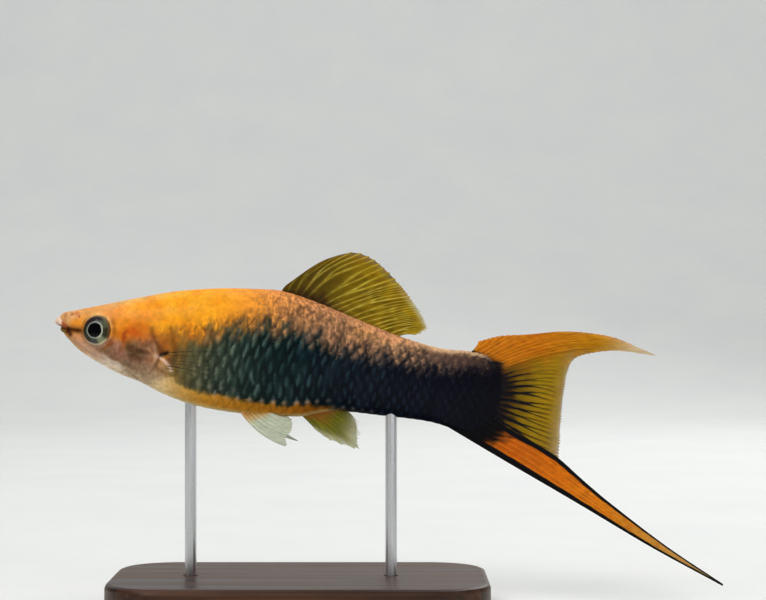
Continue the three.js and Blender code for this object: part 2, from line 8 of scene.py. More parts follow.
import bpy
import numpy as np
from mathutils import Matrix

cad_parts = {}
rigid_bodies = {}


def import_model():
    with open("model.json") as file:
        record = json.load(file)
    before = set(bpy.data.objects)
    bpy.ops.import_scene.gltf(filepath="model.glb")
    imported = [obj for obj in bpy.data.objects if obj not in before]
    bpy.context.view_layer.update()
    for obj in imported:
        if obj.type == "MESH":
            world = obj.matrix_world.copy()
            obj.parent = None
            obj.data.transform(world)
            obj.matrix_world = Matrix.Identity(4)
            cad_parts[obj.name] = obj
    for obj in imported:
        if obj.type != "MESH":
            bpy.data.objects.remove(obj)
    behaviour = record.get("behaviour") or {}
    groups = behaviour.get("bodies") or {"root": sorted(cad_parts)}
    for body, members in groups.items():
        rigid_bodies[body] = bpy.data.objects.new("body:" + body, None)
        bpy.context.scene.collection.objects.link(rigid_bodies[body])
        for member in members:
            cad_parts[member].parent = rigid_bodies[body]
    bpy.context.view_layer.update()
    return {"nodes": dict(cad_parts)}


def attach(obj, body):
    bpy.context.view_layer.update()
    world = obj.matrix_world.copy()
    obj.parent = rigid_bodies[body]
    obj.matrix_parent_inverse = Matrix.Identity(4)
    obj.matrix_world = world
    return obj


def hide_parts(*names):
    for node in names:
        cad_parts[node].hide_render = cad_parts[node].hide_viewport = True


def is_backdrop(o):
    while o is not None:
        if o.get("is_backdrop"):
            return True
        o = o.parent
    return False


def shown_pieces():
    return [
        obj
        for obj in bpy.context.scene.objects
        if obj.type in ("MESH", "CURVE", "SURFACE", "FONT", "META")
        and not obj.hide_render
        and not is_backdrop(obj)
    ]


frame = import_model()

# Driving dimensions, in millimetres
NOSE_UP = math.radians(9)
SNOUT_X = -41.3
SWORD_TIP = (119, -26.7)
SWORD_TIP_HEIGHT = 4
SNOUT_HEIGHT = SWORD_TIP_HEIGHT + SWORD_TIP[0] * math.sin(NOSE_UP) - SWORD_TIP[1] * math.cos(NOSE_UP)
BODY_START = 0.3
BODY_END = 75.4
STEM_BOW = 1.0  # how much farther the middle of the tail stem's end reaches
EYE = {"x": 7.38, "z": -0.18, "radius": 2.56, "half_depth": 1.28, "sunk": 0.42}
PUPIL_SHIFT = (-0.08, 0.04)  # off the middle of the eye, tailwards and up
NOSTRILS = [(2.5, 1.75, 0.34), (3.9, 1.6, 0.28)]  # x, z, radius
LEFT, RIGHT = -1, 1

SKIN_POINTS_ROUND = 256
RING_STEPS = (0.14, 0.17, 0.245)  # between the skin's rings: on the face, on the gill covers, behind them
SCALE_ROWS = 24  # round the whole body
SCALE_STEP = 0.08  # height of a scale's rear edge
COVER_STEP = 0.27  # height of a gill cover's rear edge

CAMERA = {"x": 14.11, "y": -361.7, "z": 52.79, "lens": 100, "sensor": 36}


# Curves, mixes and noise

def through(pairs):
    """A smooth curve through (x, value) pairs, as a function. Each slope comes from the neighbours."""
    x, value = np.array(pairs, float).T
    last = len(x) - 1
    before = np.maximum(np.arange(last + 1) - 1, 0)
    after = np.minimum(np.arange(last + 1) + 1, last)
    slope = (value[after] - value[before]) / (x[after] - x[before])

    def value_at(place):
        place = np.clip(place, x[0], x[-1])
        i = np.clip(np.searchsorted(x, place, side="right") - 1, 0, last - 1)
        width = x[i + 1] - x[i]
        t = (place - x[i]) / width
        bend = (t**3 - 2 * t**2 + t) * slope[i] + (t**3 - t**2) * slope[i + 1]
        return mix(value[i], value[i + 1], 3 * t**2 - 2 * t**3) + width * bend

    return value_at


def curve(rows):
    """The same for rows of (u, x, z): a point of the side view, x and z, for each u."""
    x = through([(row[0], row[1]) for row in rows])
    z = through([(row[0], row[2]) for row in rows])
    return lambda u: np.stack([x(u), z(u)], -1)


def mix(a, b, t):
    return a + (b - a) * t


def rise(a, b, x):
    """0 up to a, 1 from b on, and smooth between them. It falls where a is the greater."""
    t = np.clip((x - a) / (b - a), 0, 1)
    return t * t * (3 - 2 * t)


def window(a, b, c, d, x):
    """0 up to a, 1 from b to c, 0 from d on, and smooth between them."""
    return rise(a, b, x) * rise(d, c, x)


def bell(x):
    return np.exp(-(x**2))


def noise(points, grain, seed):
    """Smooth noise from -1 to 1, with grains of the given size. It comes round again every 32 grains."""
    cells = 32
    table = np.random.default_rng(seed).uniform(-1, 1, (cells, cells, cells))
    place = points / grain
    cell = np.floor(place).astype(int)
    t = place - cell
    t = t * t * (3 - 2 * t)
    total = np.zeros(points.shape[:-1])
    for corner in itertools.product((0, 1), repeat=3):
        weight = np.prod(np.where(corner, t, 1 - t), -1)
        i = (cell + corner) % cells
        total += weight * table[i[..., 0], i[..., 1], i[..., 2]]
    return total


def distance_to(x, z, line):
    """How far points of the side view lie from a line of straight stretches."""
    nearest = np.full(np.shape(x), np.inf)
    for (ax, az), (bx, bz) in zip(line, line[1:]):
        length2 = (bx - ax) ** 2 + (bz - az) ** 2
        t = np.clip(((x - ax) * (bx - ax) + (z - az) * (bz - az)) / length2, 0, 1)
        nearest = np.minimum(nearest, np.hypot(x - mix(ax, bx, t), z - mix(az, bz, t)))
    return nearest


def spot(x, z, centre, size, turn=0, soft=0.5):
    """1 inside an ellipse of the side view, turned by so many degrees, and 0 outside it."""
    c, s = math.cos(math.radians(turn)), math.sin(math.radians(turn))
    dx, dz = x - centre[0], z - centre[1]
    reach = np.hypot((dx * c + dz * s) / size[0], (dz * c - dx * s) / size[1])
    return rise(1 + soft, 1 - soft, reach)


# Paint: colours are 0 to 255 as a screen shows them, until a mesh takes them

def over(colour, mask, paint):
    """The colours with a paint over them where the mask is 1."""
    return colour + np.clip(mask, 0, 1)[..., None] * (np.array(paint, float) - colour)


def along(x, stops):
    """A colour for each x, from a few (x, colour) stops."""
    places = [place for place, _ in stops]
    return np.stack([np.interp(x, places, [paint[c] for _, paint in stops]) for c in range(3)], -1)


def plain(like, paint):
    """One paint for every item of an array."""
    return np.broadcast_to(np.array(paint, float), (*np.shape(like), 3))


def over_pattern(colour, pattern, high, low):
    """A paint where a pattern is above 0 and one where it is below: (mask, start, end, paint) for either."""
    for way, (mask, start, end, paint) in ((pattern, high), (-pattern, low)):
        colour = over(colour, mask * rise(start, end, way), paint)
    return colour


def with_fourth(colour, value):
    """The colours with a value from 0 to 1 in the fourth place: how opaque, or how flecked."""
    return np.concatenate([colour, np.clip(value, 0, 1)[..., None]], -1)


def linear(colour):
    """What a shader calls the same colour."""
    share = np.clip(np.array(colour, float) / 255, 0, 1)
    return np.where(share <= 0.04045, share / 12.92, ((share + 0.055) / 1.055) ** 2.4)


# Meshes

def to_world(points):
    x, y, z = np.moveaxis(np.asarray(points, float), -1, 0)
    c, s = math.cos(NOSE_UP), math.sin(NOSE_UP)
    return np.stack([x * c + z * s + SNOUT_X, y, z * c - x * s + SNOUT_HEIGHT], -1) / 1000


class Surface:
    """A mesh in the making: points, triangles, each corner's place on the unwrap, and each point's paint in
    four columns. Triangles are turned to face outwards."""

    def __init__(self):
        self.points, self.faces, self.corners, self.paints = [], [], [], []
        self.count = 0

    def add(self, points, faces, corners, paint):
        faces = np.asarray(faces)
        a, b, c = (points[faces[:, k]] - points.mean(0) for k in range(3))
        if np.einsum("ij,ij->", a, np.cross(b, c)) < 0:
            faces, corners = faces[:, ::-1], corners[:, ::-1]
        self.points.append(points)
        self.faces.append(faces + self.count)
        self.corners.append(corners)
        self.paints.append(paint)
        self.count += len(points)

    def build(self, name, material):
        mesh = bpy.data.meshes.new(name)
        points = to_world(np.concatenate(self.points))
        mesh.from_pydata(points.tolist(), [], np.concatenate(self.faces).tolist())
        mesh.uv_layers.new(name="OFBake").data.foreach_set("uv", np.concatenate(self.corners).ravel())
        paint = np.concatenate(self.paints)
        paint = np.column_stack([linear(paint[:, :3]), paint[:, 3]])
        mesh.attributes.new("tint", "FLOAT_COLOR", "POINT").data.foreach_set("color", paint.ravel())
        mesh.polygons.foreach_set("use_smooth", [True] * len(mesh.polygons))
        mesh.materials.append(material)
        piece = bpy.data.objects.new(name, mesh)
        bpy.context.scene.collection.objects.link(piece)
        return piece


def grid_faces(rows, columns, closed=False):
    """Triangles over a grid of points, and the same triangles as (row, column) places, for the unwrap."""
    cells = np.meshgrid(np.arange(rows - 1), np.arange(columns - (not closed)), indexing="ij")
    cell = np.stack([a.ravel() for a in cells], -1)
    halves = [((0, 0), (0, 1), (1, 1)), ((0, 0), (1, 1), (1, 0))]
    places = np.concatenate([cell[:, None] + np.array(half) for half in halves])
    return places[..., 0] * columns + places[..., 1] % columns, places


def add_tube(surface, rings, paint, box):
    """A closed tube over rings of points, with a fan over each end. box is its part of the unwrap."""
    rows, columns = rings.shape[:2]
    faces, places = grid_faces(rows, columns, closed=True)
    points = np.concatenate([rings.reshape(-1, 3), rings[[0, -1]].mean(1)])
    paints = np.concatenate([paint.reshape(rows * columns, -1), paint[[0, -1]].mean(1)])
    around = np.arange(columns)
    fans, fan_places = [], []
    for end, row, beyond in ((0, 0, -0.5), (1, rows - 1, rows - 0.5)):
        first, second = around + 1 - end, around + end
        middle = 0 * around + rows * columns + end
        fans.append(np.stack([middle, row * columns + first % columns, row * columns + second % columns], -1))
        corners = [(beyond + 0 * around, around + 0.5), (row + 0 * around, first), (row + 0 * around, second)]
        fan_places.append(np.stack([np.stack(corner, -1) for corner in corners], 1))
    places = np.concatenate([places, *fan_places]) + (0.5, 0)
    share = places / (rows, columns)
    (left, bottom), (width, height) = box
    corners = np.stack([left + width * share[..., 0], bottom + height * share[..., 1]], -1)
    surface.add(points, np.concatenate([faces, *fans]), corners, paints)


# Body: its outlines from the side, its half width, and the roundness of its cross-section

back_at = through([
    (0.3, 0.95), (0.8, 1.75), (2.7, 2.5), (6, 3.7), (10, 5.2), (14, 6.65), (19, 8.35), (26.5, 10.05),
    (33, 10.95), (37, 11.25), (43.7, 10.15), (50.8, 8.4), (58, 6.75), (65, 5.85), (70, 6.1), (73, 5.9),
    (75, 4.7),
])
belly_at = through([
    (0.3, -0.35), (0.8, -0.75), (1.25, -1.3), (1.8, -2.0), (2.6, -2.65), (4.6, -4.1), (8.3, -5.75),
    (12, -7.0), (15.5, -7.75), (19.2, -9.0), (24, -10.05), (29.7, -10.45), (36.6, -10.15), (43.3, -9.3),
    (47, -8.0), (50, -7.35), (56.7, -7.0), (65, -6.75), (70.5, -7.4), (73, -7.3), (75, -5.9),
])
half_width_at = through([
    (0.3, 1.0), (0.8, 1.45), (2.5, 2.25), (6, 3.45), (10, 4.5), (15, 5.3), (21, 5.65), (28, 5.6),
    (36, 5.2), (43, 4.5), (50, 3.7), (58, 2.85), (65, 2.0), (70, 1.2), (73, 0.62), (BODY_END, 0.14),
])
widest_at = through([
    (0.3, 0), (6, -0.8), (12, -1.2), (20, -0.8), (30, 0.2), (40, 0.6), (50, 0.4), (65, -0.3), (75, -0.6),
])
upper_roundness = through([(0, 2.2), (4, 2.7), (9, 2.6), (16, 2.2), (30, 2), (50, 1.9), (75, 2)])
lower_roundness = through([(0, 2.1), (10, 2.1), (25, 2), (45, 1.85), (75, 2)])


def side_at(x, z):
    """The half width of the body at a height."""
    wide = widest_at(x)
    reach = (z - wide) / (np.where(z > wide, back_at(x), belly_at(x)) - wide)
    n = np.where(z > wide, upper_roundness(x), lower_roundness(x))
    return half_width_at(x) * np.maximum(0, 1 - reach**n) ** (1 / n)


def facing(depth, x, z, side=1, step=0.05):
    """The way a surface faces that lies depth(x, z) off the middle plane, from its slopes over two steps."""
    along_x = (depth(x + step, z) - depth(x - step, z)) / (2 * step)
    along_z = (depth(x, z + step) - depth(x, z - step)) / (2 * step)
    way = np.stack([-along_x, side + 0 * along_x, -along_z], -1)
    return way / np.linalg.norm(way, axis=-1, keepdims=True)


def ring_at(x):
    """Evenly spaced points round the body, from the belly up its left side and down its right one."""
    turn = np.linspace(-math.pi / 2, math.pi / 2, 601)
    c, s = np.cos(turn), np.sin(turn)
    power = 2 / np.where(s > 0, upper_roundness(x), lower_roundness(x))
    y = np.abs(c) ** power * half_width_at(x)
    z = widest_at(x) + np.abs(s) ** power * (np.where(s > 0, back_at(x), belly_at(x)) - widest_at(x))
    walked = np.concatenate([[0], np.cumsum(np.hypot(np.diff(y), np.diff(z)))])
    stops = np.linspace(0, walked[-1], SKIN_POINTS_ROUND // 2 + 1)
    y, z = np.interp(stops, walked, y), np.interp(stops, walked, z)
    y, z = np.concatenate([-y, y[-2:0:-1]]), np.concatenate([z, z[-2:0:-1]])
    return np.stack([np.full(len(y), x), y, z], -1)


def ring_places():
    """Where the skin's rings stand: closest on the head."""
    face, cover, trunk = RING_STEPS
    places = [BODY_START]
    while places[-1] < BODY_END - 0.2:
        x = places[-1]
        places.append(x + mix(mix(face, cover, rise(8, 10, x)), trunk, rise(19, 21, x)))
    return [*places, BODY_END]


# Scales

gill_edge = curve([
    (0, 12.8, 9.5), (0.2, 13.4, 5.4), (0.33, 14.7, 3.0), (0.45, 16.7, 1.3), (0.57, 17.9, -0.9),
    (0.68, 18.4, -3.1), (0.8, 17.6, -5.3), (0.9, 16.0, -7.2), (1, 14.0, -9.6),
])


def behind_gill(x, z):
    """How far a point lies behind the gill opening."""
    line = gill_edge(np.linspace(1, 0, 80))
    return x - np.interp(z, line[:, 1], line[:, 0])


def scale_columns(x):
    """How many scales lie between the snout and x."""
    pitch = through([(0, 1.5), (10, 1.7), (20, 1.95), (35, 1.95), (55, 1.65), (75, 1.45)])
    stops = np.linspace(0, 80, 400)
    walked = np.concatenate([[0], np.cumsum(0.2 / pitch(stops[1:]))])
    return np.interp(x, stops, walked)


def scale_lattice(points, around):
    """The scale on top at each point: how far ahead of its rear edge the point lies, as a share of the pitch,
    how far off its middle line, from -1 to 1, a draw from 0 to 1 that is the scale's own, and how far the
    point lies behind the last rear edge ahead of it."""
    x, z = points[..., 0], points[..., 2]
    lean = 0.15 * np.maximum(z, 0)
    column = scale_columns(x - lean) + 0.16 * noise(points, 2.6, 5) + 0.07 * noise(points, 1.1, 6)
    draws = np.random.default_rng(4).random((SCALE_ROWS, 64))
    row = SCALE_ROWS * around + 0.14 * noise(points, 2.2, 8)
    first = np.floor(row)
    found = []
    for candidate in (first, first + 1):
        off = row - candidate
        edge = 0.5 * (candidate % 2) + 0.5 * np.sqrt(np.maximum(0, 1 - off**2))
        ahead = np.mod(edge - column, 1)
        number = np.round(column + ahead - edge).astype(int)
        found.append((ahead, off, draws[(candidate % SCALE_ROWS).astype(int), number % 64]))
    nearer = found[0][0] < found[1][0]
    behind = 1 - np.maximum(found[0][0], found[1][0])
    return [*(np.where(nearer, a, b) for a, b in zip(*found)), behind]


def edge_shade(scale, reach):
    """1 at the scales' rear edges, fading out over a share of the pitch ahead of them and a little behind."""
    ahead, _, _, behind = scale
    return np.maximum(rise(reach, 0, ahead), rise(0.4 * reach, 0, behind))


def scale_cover(x, z):
    """Where scales show: all over the trunk, faintly on the nape and gill covers, and not on the face."""
    trunk = rise(0.3, 3, behind_gill(x, z)) * mix(0.35, 1, rise(20, 32, x - 0.6 * z))
    nape = 0.2 * rise(8, 12, x) * rise(2.6, 3.6, z)
    cover = 0.15 * rise(12.6, 13.6, x)
    return np.maximum(trunk, np.maximum(nape, cover)) * rise(75, 73.5, x)


# Relief of the head, in millimetres outwards

MOUTH_LINE = [(-1, -0.3), (0.9, -0.5), (2.0, -0.8), (2.6, -1.5)]
CHEEK_LINE = [(11.2, -6), (11.7, -4.4), (12, -3), (12.6, -1.4), (12.6, 0.2), (12.3, 1.9)]
JAW_LINE = [(2.9, -2.2), (6, -3.9), (9, -4.7), (12, -5.6), (13.6, -6.7)]
LIP_FOLD = [(2.2, -0.7), (1.5, 0.4), (1.35, 1.7)]
COVER_LINE = [(13.2, -4.3), (15.4, -5.0), (17.4, -4.7)]
FOLDS = [  # line, depth, width
    (MOUTH_LINE, 0.4, 0.26), (CHEEK_LINE, 0.17, 0.4), (JAW_LINE, 0.07, 0.35), (LIP_FOLD, 0.06, 0.3),
    (COVER_LINE, 0.06, 0.3),
]


def cover_relief(x, z):
    """The gill cover rises to its rear edge and drops to the shoulder behind it."""
    level = window(-6.6, -3.8, -0.8, 1.2, z)
    behind = behind_gill(x, z)
    lift = COVER_STEP * rise(12.4, 18, x) * rise(0.02, -0.3, behind)
    opening = -0.16 * bell((behind - 0.22) / 0.3)
    return level * (lift + opening)


def face_relief(x, z):
    """Folds, a swelling under the eye, the pectoral fin's shoulder, and nostril pits with raised rims."""
    relief = np.zeros(np.shape(x))
    for line, depth, width in FOLDS:
        relief -= depth * bell(distance_to(x, z, line) / width)
    relief += 0.12 * spot(x, z, (9.8, -2.6), (2.2, 1.3), -15, 0.7)
    relief += 0.3 * spot(x, z, (19.0, -3.5), (0.8, 1.5), 12, 0.5)
    for nx, nz, radius in NOSTRILS:
        reach = np.hypot(x - nx, z - nz) / radius
        relief += 0.04 * bell((reach - 1.3) / 0.5) - 0.14 * rise(1.05, 0.4, reach)
    return relief


def eye_seat(side):
    """The middle of an eye's socket on the body's surface, and the way the eye looks."""
    x, z = EYE["x"], EYE["z"]
    return np.array([x, side * side_at(x, z), z]), facing(side_at, x, z, side, step=0.1)


def eye_reach(points, side):
    """How far points lie from an eye's axis."""
    centre, outward = eye_seat(side)
    away = points - centre
    on_side = np.sign(points[..., 1]) == side
    return np.where(on_side, np.linalg.norm(away - (away @ outward)[..., None] * outward, axis=-1), np.inf)


def socket_relief(reach):
    radius = EYE["radius"]
    rim = 0.08 * bell((reach - radius - 0.2) / 0.28)
    return rim - 1.4 * rise(radius - 0.05, radius - 0.75, reach)


# Markings

orange_down_to = through([
    (10, -2.5), (18, -1.5), (21, 0.25), (24.4, 1.1), (27.7, 2.0), (31, 3.4), (34, 4.2), (41, 4.4),
    (46.4, 3.4), (52, 3.0), (58.5, 3.2), (65.5, 2.8), (70, 4.0), (75, 6),
])
dark_down_to = through([
    (0, -1.6), (4, -2.4), (8, -3.1), (11, -4.3), (14, -5.7), (18, -5.6), (20, -5.7), (23, -7.0),
    (27.6, -7.4), (33, -7.7), (38, -7.75), (41.4, -7.4), (46, -6.7), (50.6, -6.8), (56, -7.4), (75, -9.5),
])
BACK_PAINT = [
    (0, (226, 168, 100)), (4, (222, 150, 74)), (9, (232, 146, 68)), (14, (246, 152, 40)),
    (20, (254, 170, 28)), (27, (252, 164, 32)), (32, (242, 152, 46)), (37, (222, 142, 66)),
    (43, (198, 136, 84)), (50, (214, 156, 100)), (56, (230, 168, 110)), (63, (212, 164, 118)),
    (70, (206, 160, 114)), (75, (222, 146, 54)),
]
FLANK_PAINT = [
    (17, (170, 110, 50)), (20, (122, 100, 56)), (24, (92, 90, 58)), (28, (58, 72, 58)), (32, (34, 54, 48)),
    (36, (14, 38, 36)), (42, (8, 30, 34)), (48, (8, 22, 32)), (55, (11, 18, 30)), (65, (10, 13, 27)),
    (75, (9, 10, 20)),
]
BELLY_PAINT = [
    (0, (168, 158, 92)), (5, (208, 172, 126)), (9, (236, 216, 186)), (14, (240, 214, 170)),
    (19, (232, 202, 148)), (23, (216, 166, 84)), (27, (206, 144, 48)), (36, (190, 124, 32)),
    (43, (168, 102, 22)), (48, (128, 74, 20)), (52, (44, 30, 26)), (58, (12, 14, 24)), (75, (9, 10, 20)),
]
# painted sheen: the pale colour of the upright stripe on each dark scale
SCALE_SHEEN_PAINT = [
    (18, (170, 150, 100)), (25, (140, 138, 108)), (30, (116, 130, 114)), (36, (88, 112, 106)),
    (44, (62, 90, 94)), (52, (40, 58, 70)), (60, (26, 36, 52)), (75, (12, 14, 26)),
]
FACE_SPOTS = [  # paint, centre, size, turn, strength
    # painted highlight: the first two spots, pale beige along the top of the snout and forehead
    ((222, 168, 112), (2.2, 1.5), (2.4, 1.1), 20, 0.8),
    ((226, 164, 102), (7.0, 3.2), (3.2, 0.6), 18, 0.55),
    ((236, 140, 36), (3.8, 0.5), (1.1, 0.8), 0, 0.7),
    ((230, 148, 44), (4.7, 0.9), (0.8, 1.2), 0, 0.6),
    ((196, 112, 66), (3.3, 2.0), (0.9, 0.4), 15, 0.7),
    ((206, 144, 98), (4.9, -2.6), (2.2, 1.3), -25, 0.85),
    ((204, 160, 132), (6.6, -3.7), (2.6, 0.8), -28, 0.8),
    ((236, 142, 30), (11.6, 1.6), (2.4, 1.8), 0, 0.6),
    ((206, 108, 20), (12.6, -0.3), (1.9, 1.2), 0, 0.75),
    ((168, 140, 112), (15.4, -5.4), (4.4, 2.2), -16, 0.9),
    ((142, 98, 80), (16.4, -2.2), (3.2, 2.6), 0, 0.85),
    ((146, 102, 82), (10.8, -2.9), (3.6, 1.7), -14, 0.92),
    ((124, 94, 66), (8.8, -3.3), (2.6, 0.6), -14, 0.65),
    # painted highlight: a pale spot where light falls on the lower jaw
    ((234, 214, 190), (11.2, -5.5), (2.0, 0.75), -24, 0.9),
    ((184, 92, 26), (15.2, 0.9), (2.9, 1.5), -8, 0.6),
    ((196, 76, 16), (13.7, 0.6), (1.5, 0.5), -8, 0.5),
    ((178, 66, 18), (12.3, -0.6), (0.35, 1.1), 0, 0.7),
    ((84, 56, 32), (14.6, -2.4), (1.9, 1.15), -28, 0.85),
    ((124, 100, 70), (14.4, -5.0), (2.2, 0.6), -16, 0.6),
    ((152, 66, 40), (9.9, -1.95), (0.6, 0.4), 0, 0.7),
    # painted glint: a small pale spot on the cheek
    ((188, 130, 104), (11.0, -2.2), (0.45, 0.45), 0, 0.6),
    ((150, 84, 28), (19.8, -0.4), (1.5, 2.3), 0, 0.85),
    ((176, 142, 108), (19.6, -5.4), (1.8, 1.8), 0, 0.8),
    # painted shade: a brown spot under the pectoral fin's root
    ((104, 46, 26), (20.7, -3.3), (0.7, 1.0), -20, 0.85),
]
FACE_STROKES = [  # paint, line, width, strength
    ((186, 108, 66), LIP_FOLD, 0.3, 0.4),
    ((70, 34, 2), [(1.9, -0.7), (3.4, -0.72), (4.6, -0.66)], 0.48, 0.95),
    # painted shade: the corner of the mouth's gap, running down
    ((62, 26, 6), [(2.4, -1.0), (2.8, -1.6)], 0.42, 1.0),
    ((150, 70, 34), [(12.2, 0.4), (12.5, -1.4), (12.0, -3.0)], 0.26, 0.45),
    ((130, 102, 78), JAW_LINE, 0.25, 0.2),
    # painted shade: a dark stroke along the upper part of the gill opening
    ((104, 58, 24), [(16.6, 1.7), (16.9, 0.7), (17.7, -0.6), (18.9, -2.0)], 0.42, 0.6),
    # painted shade: an upright dark stroke on the shoulder behind the gill cover
    ((118, 66, 20), [(19.8, 2.0), (20.6, 0.1), (21.4, -2.0)], 0.45, 0.6),
    ((116, 78, 44), [(17.2, -3.6), (18.2, -4.4), (19.4, -5.2)], 0.45, 0.5),
    ((244, 208, 188), [(18.0, -2.7), (19.3, -3.1), (20.4, -4.0), (20.9, -4.8)], 0.28, 0.9),
    # painted shade: a black mark under the pectoral fin's root
    ((20, 14, 12), [(18.9, -2.4), (19.8, -2.0)], 0.34, 0.97),
]


def zone_colours(points, scale):
    """Orange back, dark flank and golden belly. Scale edges darken first where two zones meet."""
    x, z = points[..., 0], points[..., 2]
    draw = scale[2]
    upright = points * (1.35, 1, 0.45)
    mottle = 0.65 * noise(upright, 0.9, 11) + 0.3 * noise(upright, 0.4, 12)
    edge = edge_shade(scale, 0.6)
    colour = over(along(x, BACK_PAINT), 0.35 * np.maximum(0, noise(points, 3.2, 13)), (255, 176, 70))
    reach = (orange_down_to(x) - z) / 2.4
    trunk = rise(0.5, 3, behind_gill(x, z))
    dusk = rise(-1.3, 0.3, reach + 0.3 * (draw - 0.5) + 0.5 * edge + 0.6 * mottle) * trunk
    dusky = along(x, [(18, (186, 108, 34)), (28, (146, 100, 52)), (38, (108, 90, 66)), (60, (122, 102, 84))])
    colour = over(colour, 0.7 * dusk, dusky)
    rearwards = rise(22, 33, x)
    by_scale = 0.3 * (draw - 0.5) + 0.7 * (edge - 0.35)
    level = reach + mix(0.4, 1, rearwards) * by_scale + 0.9 * mottle
    dark = rise(mix(-1.0, -0.8, rearwards), 1.05, level) * trunk
    front = rise(18.5, 26, x + 1.6 * mottle)
    colour = over(colour, dark * mix(0.55, 1, front), along(x, FLANK_PAINT))
    past_dark = (dark_down_to(x) - z) / 0.75
    below = rise(-0.7, 0.8, past_dark + 0.4 * (draw - 0.5) - 0.45 * (edge - 0.3) + 0.8 * mottle)
    pink = bell((reach - 0.1) / 0.6) * rise(0, 0.5, -noise(upright, 0.9, 19)) * rise(22, 28, x)
    colour = over(colour, 0.5 * pink * trunk, (172, 130, 102))
    saddle = window(33, 42, 58, 64, x) * rise(0.9, 3.2, back_at(x) - z + 0.8 * mottle)
    colour = over(colour, 0.4 * saddle * (1 - dark), (146, 108, 80))
    return over(colour, below, along(x, BELLY_PAINT)), dark, below


def scale_marks(colour, points, scale, dark, below):
    """Dark smudges at the scales' rear edges, a pale upright stripe in the middle of each dark scale as
    painted sheen, and painted glints as pale dots on the scales where the dark flank meets the belly.
    """
    x, z = points[..., 0], points[..., 2]
    ahead, off, draw, _ = scale
    shown = rise(0.3, 2.0, behind_gill(x, z))
    near_dark = rise(-4.4, -0.8, orange_down_to(x) - z)
    upright = points * (1, 1, 0.5)
    uneven = 0.5 + 0.5 * noise(upright, 0.9, 16)
    rows = np.maximum(near_dark * mix(0.4, 0.9, rise(22, 34, x)), 0.8 * window(33, 42, 56, 64, x))
    brown = edge_shade(scale, 0.62) * rows * (1 - dark) * (1 - below) * shown * (0.25 + 0.9 * uneven)
    browns = along(x, [(20, (150, 84, 26)), (32, (104, 62, 30)), (45, (82, 58, 44))])
    colour = over(colour, 0.8 * brown, browns)
    dark_skin = dark * (1 - below) * shown
    rim = edge_shade(scale, 0.5) * mix(0.2, 0.75, uneven) * rise(21, 28, x)
    colour = over(colour, rim * dark_skin, 0.35 * along(x, FLANK_PAINT))
    # long upright bands over the dark scales: paler ones in a dim painted sheen, deeper ones in the flank's
    # colour
    long_streak = noise(points * (1.7, 1, 0.4), 1.0, 18)
    pale = (0.32 * dark_skin, 0.05, 0.5, 0.75 * along(x, SCALE_SHEEN_PAINT))
    deep = (0.35 * dark_skin, 0.05, 0.5, 0.5 * along(x, FLANK_PAINT))
    colour = over_pattern(colour, long_streak, pale, deep)
    # painted sheen: a pale upright stripe in the middle of each dark scale
    wavy = ahead - 0.5 + 0.1 * noise(upright, 0.5, 14)
    sheen_streak = bell(wavy / 0.14) * rise(0.95, 0.45, np.abs(off))
    strength = sheen_streak * mix(0.2, 1, draw) * rise(20, 28, x) * (0.25 + uneven)
    colour = over(colour, 0.95 * strength * dark_skin, along(x, SCALE_SHEEN_PAINT))
    # painted glints: pale dots on the scales where the dark flank meets the belly
    meeting = bell((dark_down_to(x) - z + 0.35) / 0.8) * window(25, 28, 56, 64, x)
    bead_glint_paint = along(x, [(27, (204, 162, 132)), (44, (186, 148, 120)), (54, (112, 98, 92)), (62, (60, 56, 62))])
    bead_glint = bell((ahead - 0.45) / 0.22) * bell(off / 0.26)
    colour = over(colour, 0.95 * bead_glint * meeting * (0.35 + 0.65 * draw), bead_glint_paint)
    scaled_belly = edge_shade(scale, 0.3) * below * rise(24, 32, x)
    return over(colour, 0.3 * scaled_belly, 0.6 * along(x, BELLY_PAINT))


def flecks(colour, points, dark, below):
    """Fine upright flecks, brown and orange, over the back behind the nape, and a few on the shoulder."""
    x, z = points[..., 0], points[..., 2]
    fleck = noise(points * (1, 1, 0.55), 0.42, 17)
    back = window(29, 38, 60, 68, x) * (1 - dark) * (1 - below)
    pale = along(x, [(34, (246, 166, 70)), (46, (222, 156, 112))])
    colour = over_pattern(colour, fleck, (0.45 * back, 0.05, 0.5, (98, 68, 52)), (0.5 * back, 0.1, 0.5, pale))
    shoulder = rise(0.5, 2, behind_gill(x, z)) * rise(34, 26, x)
    shoulder *= rise(-4, -1, orange_down_to(x) - z) * (1 - dark) * (1 - below)
    return over(colour, 0.6 * shoulder * rise(0.3, 0.6, fleck), (126, 70, 24))


def edge_marks(colour, points):
    """Pale edges along the back and belly, the one along the top of the head and nape a painted highlight,
    and the dark stretch under the tail stem's pale top.
    """
    x, z = points[..., 0], points[..., 2]
    mottle = noise(points, 0.7, 21)
    # painted highlight: a pale edge along the top of the head and nape
    top = rise(-1.3, -0.3, z - back_at(x) + 0.3 * mottle) * rise(24, 15, x)
    colour = over(colour, 0.6 * top * rise(6, 10, x), (226, 186, 116))
    under = rise(-0.9, -0.2, belly_at(x) - z) * window(13, 18, 46, 52, x)
    colour = over(colour, 0.65 * under, (216, 200, 142))
    stem = window(59, 66, 72, 75, x)
    shade = bell((back_at(x) - z - 1.7 + 0.5 * mottle) / 1.1)
    colour = over(colour, 0.8 * stem * shade, (84, 62, 54))
    ridge = rise(-2.0, -0.5, z - back_at(x) + 0.7 * mottle) * window(33, 36, 57, 62, x)
    colour = over(colour, 0.5 * ridge, along(x, [(34, (240, 148, 70)), (48, (230, 158, 108))]))
    pale = rise(-0.8, -0.3, z - back_at(x) + 0.25 * mottle)
    return over(colour, 0.75 * stem * pale, (222, 180, 138))


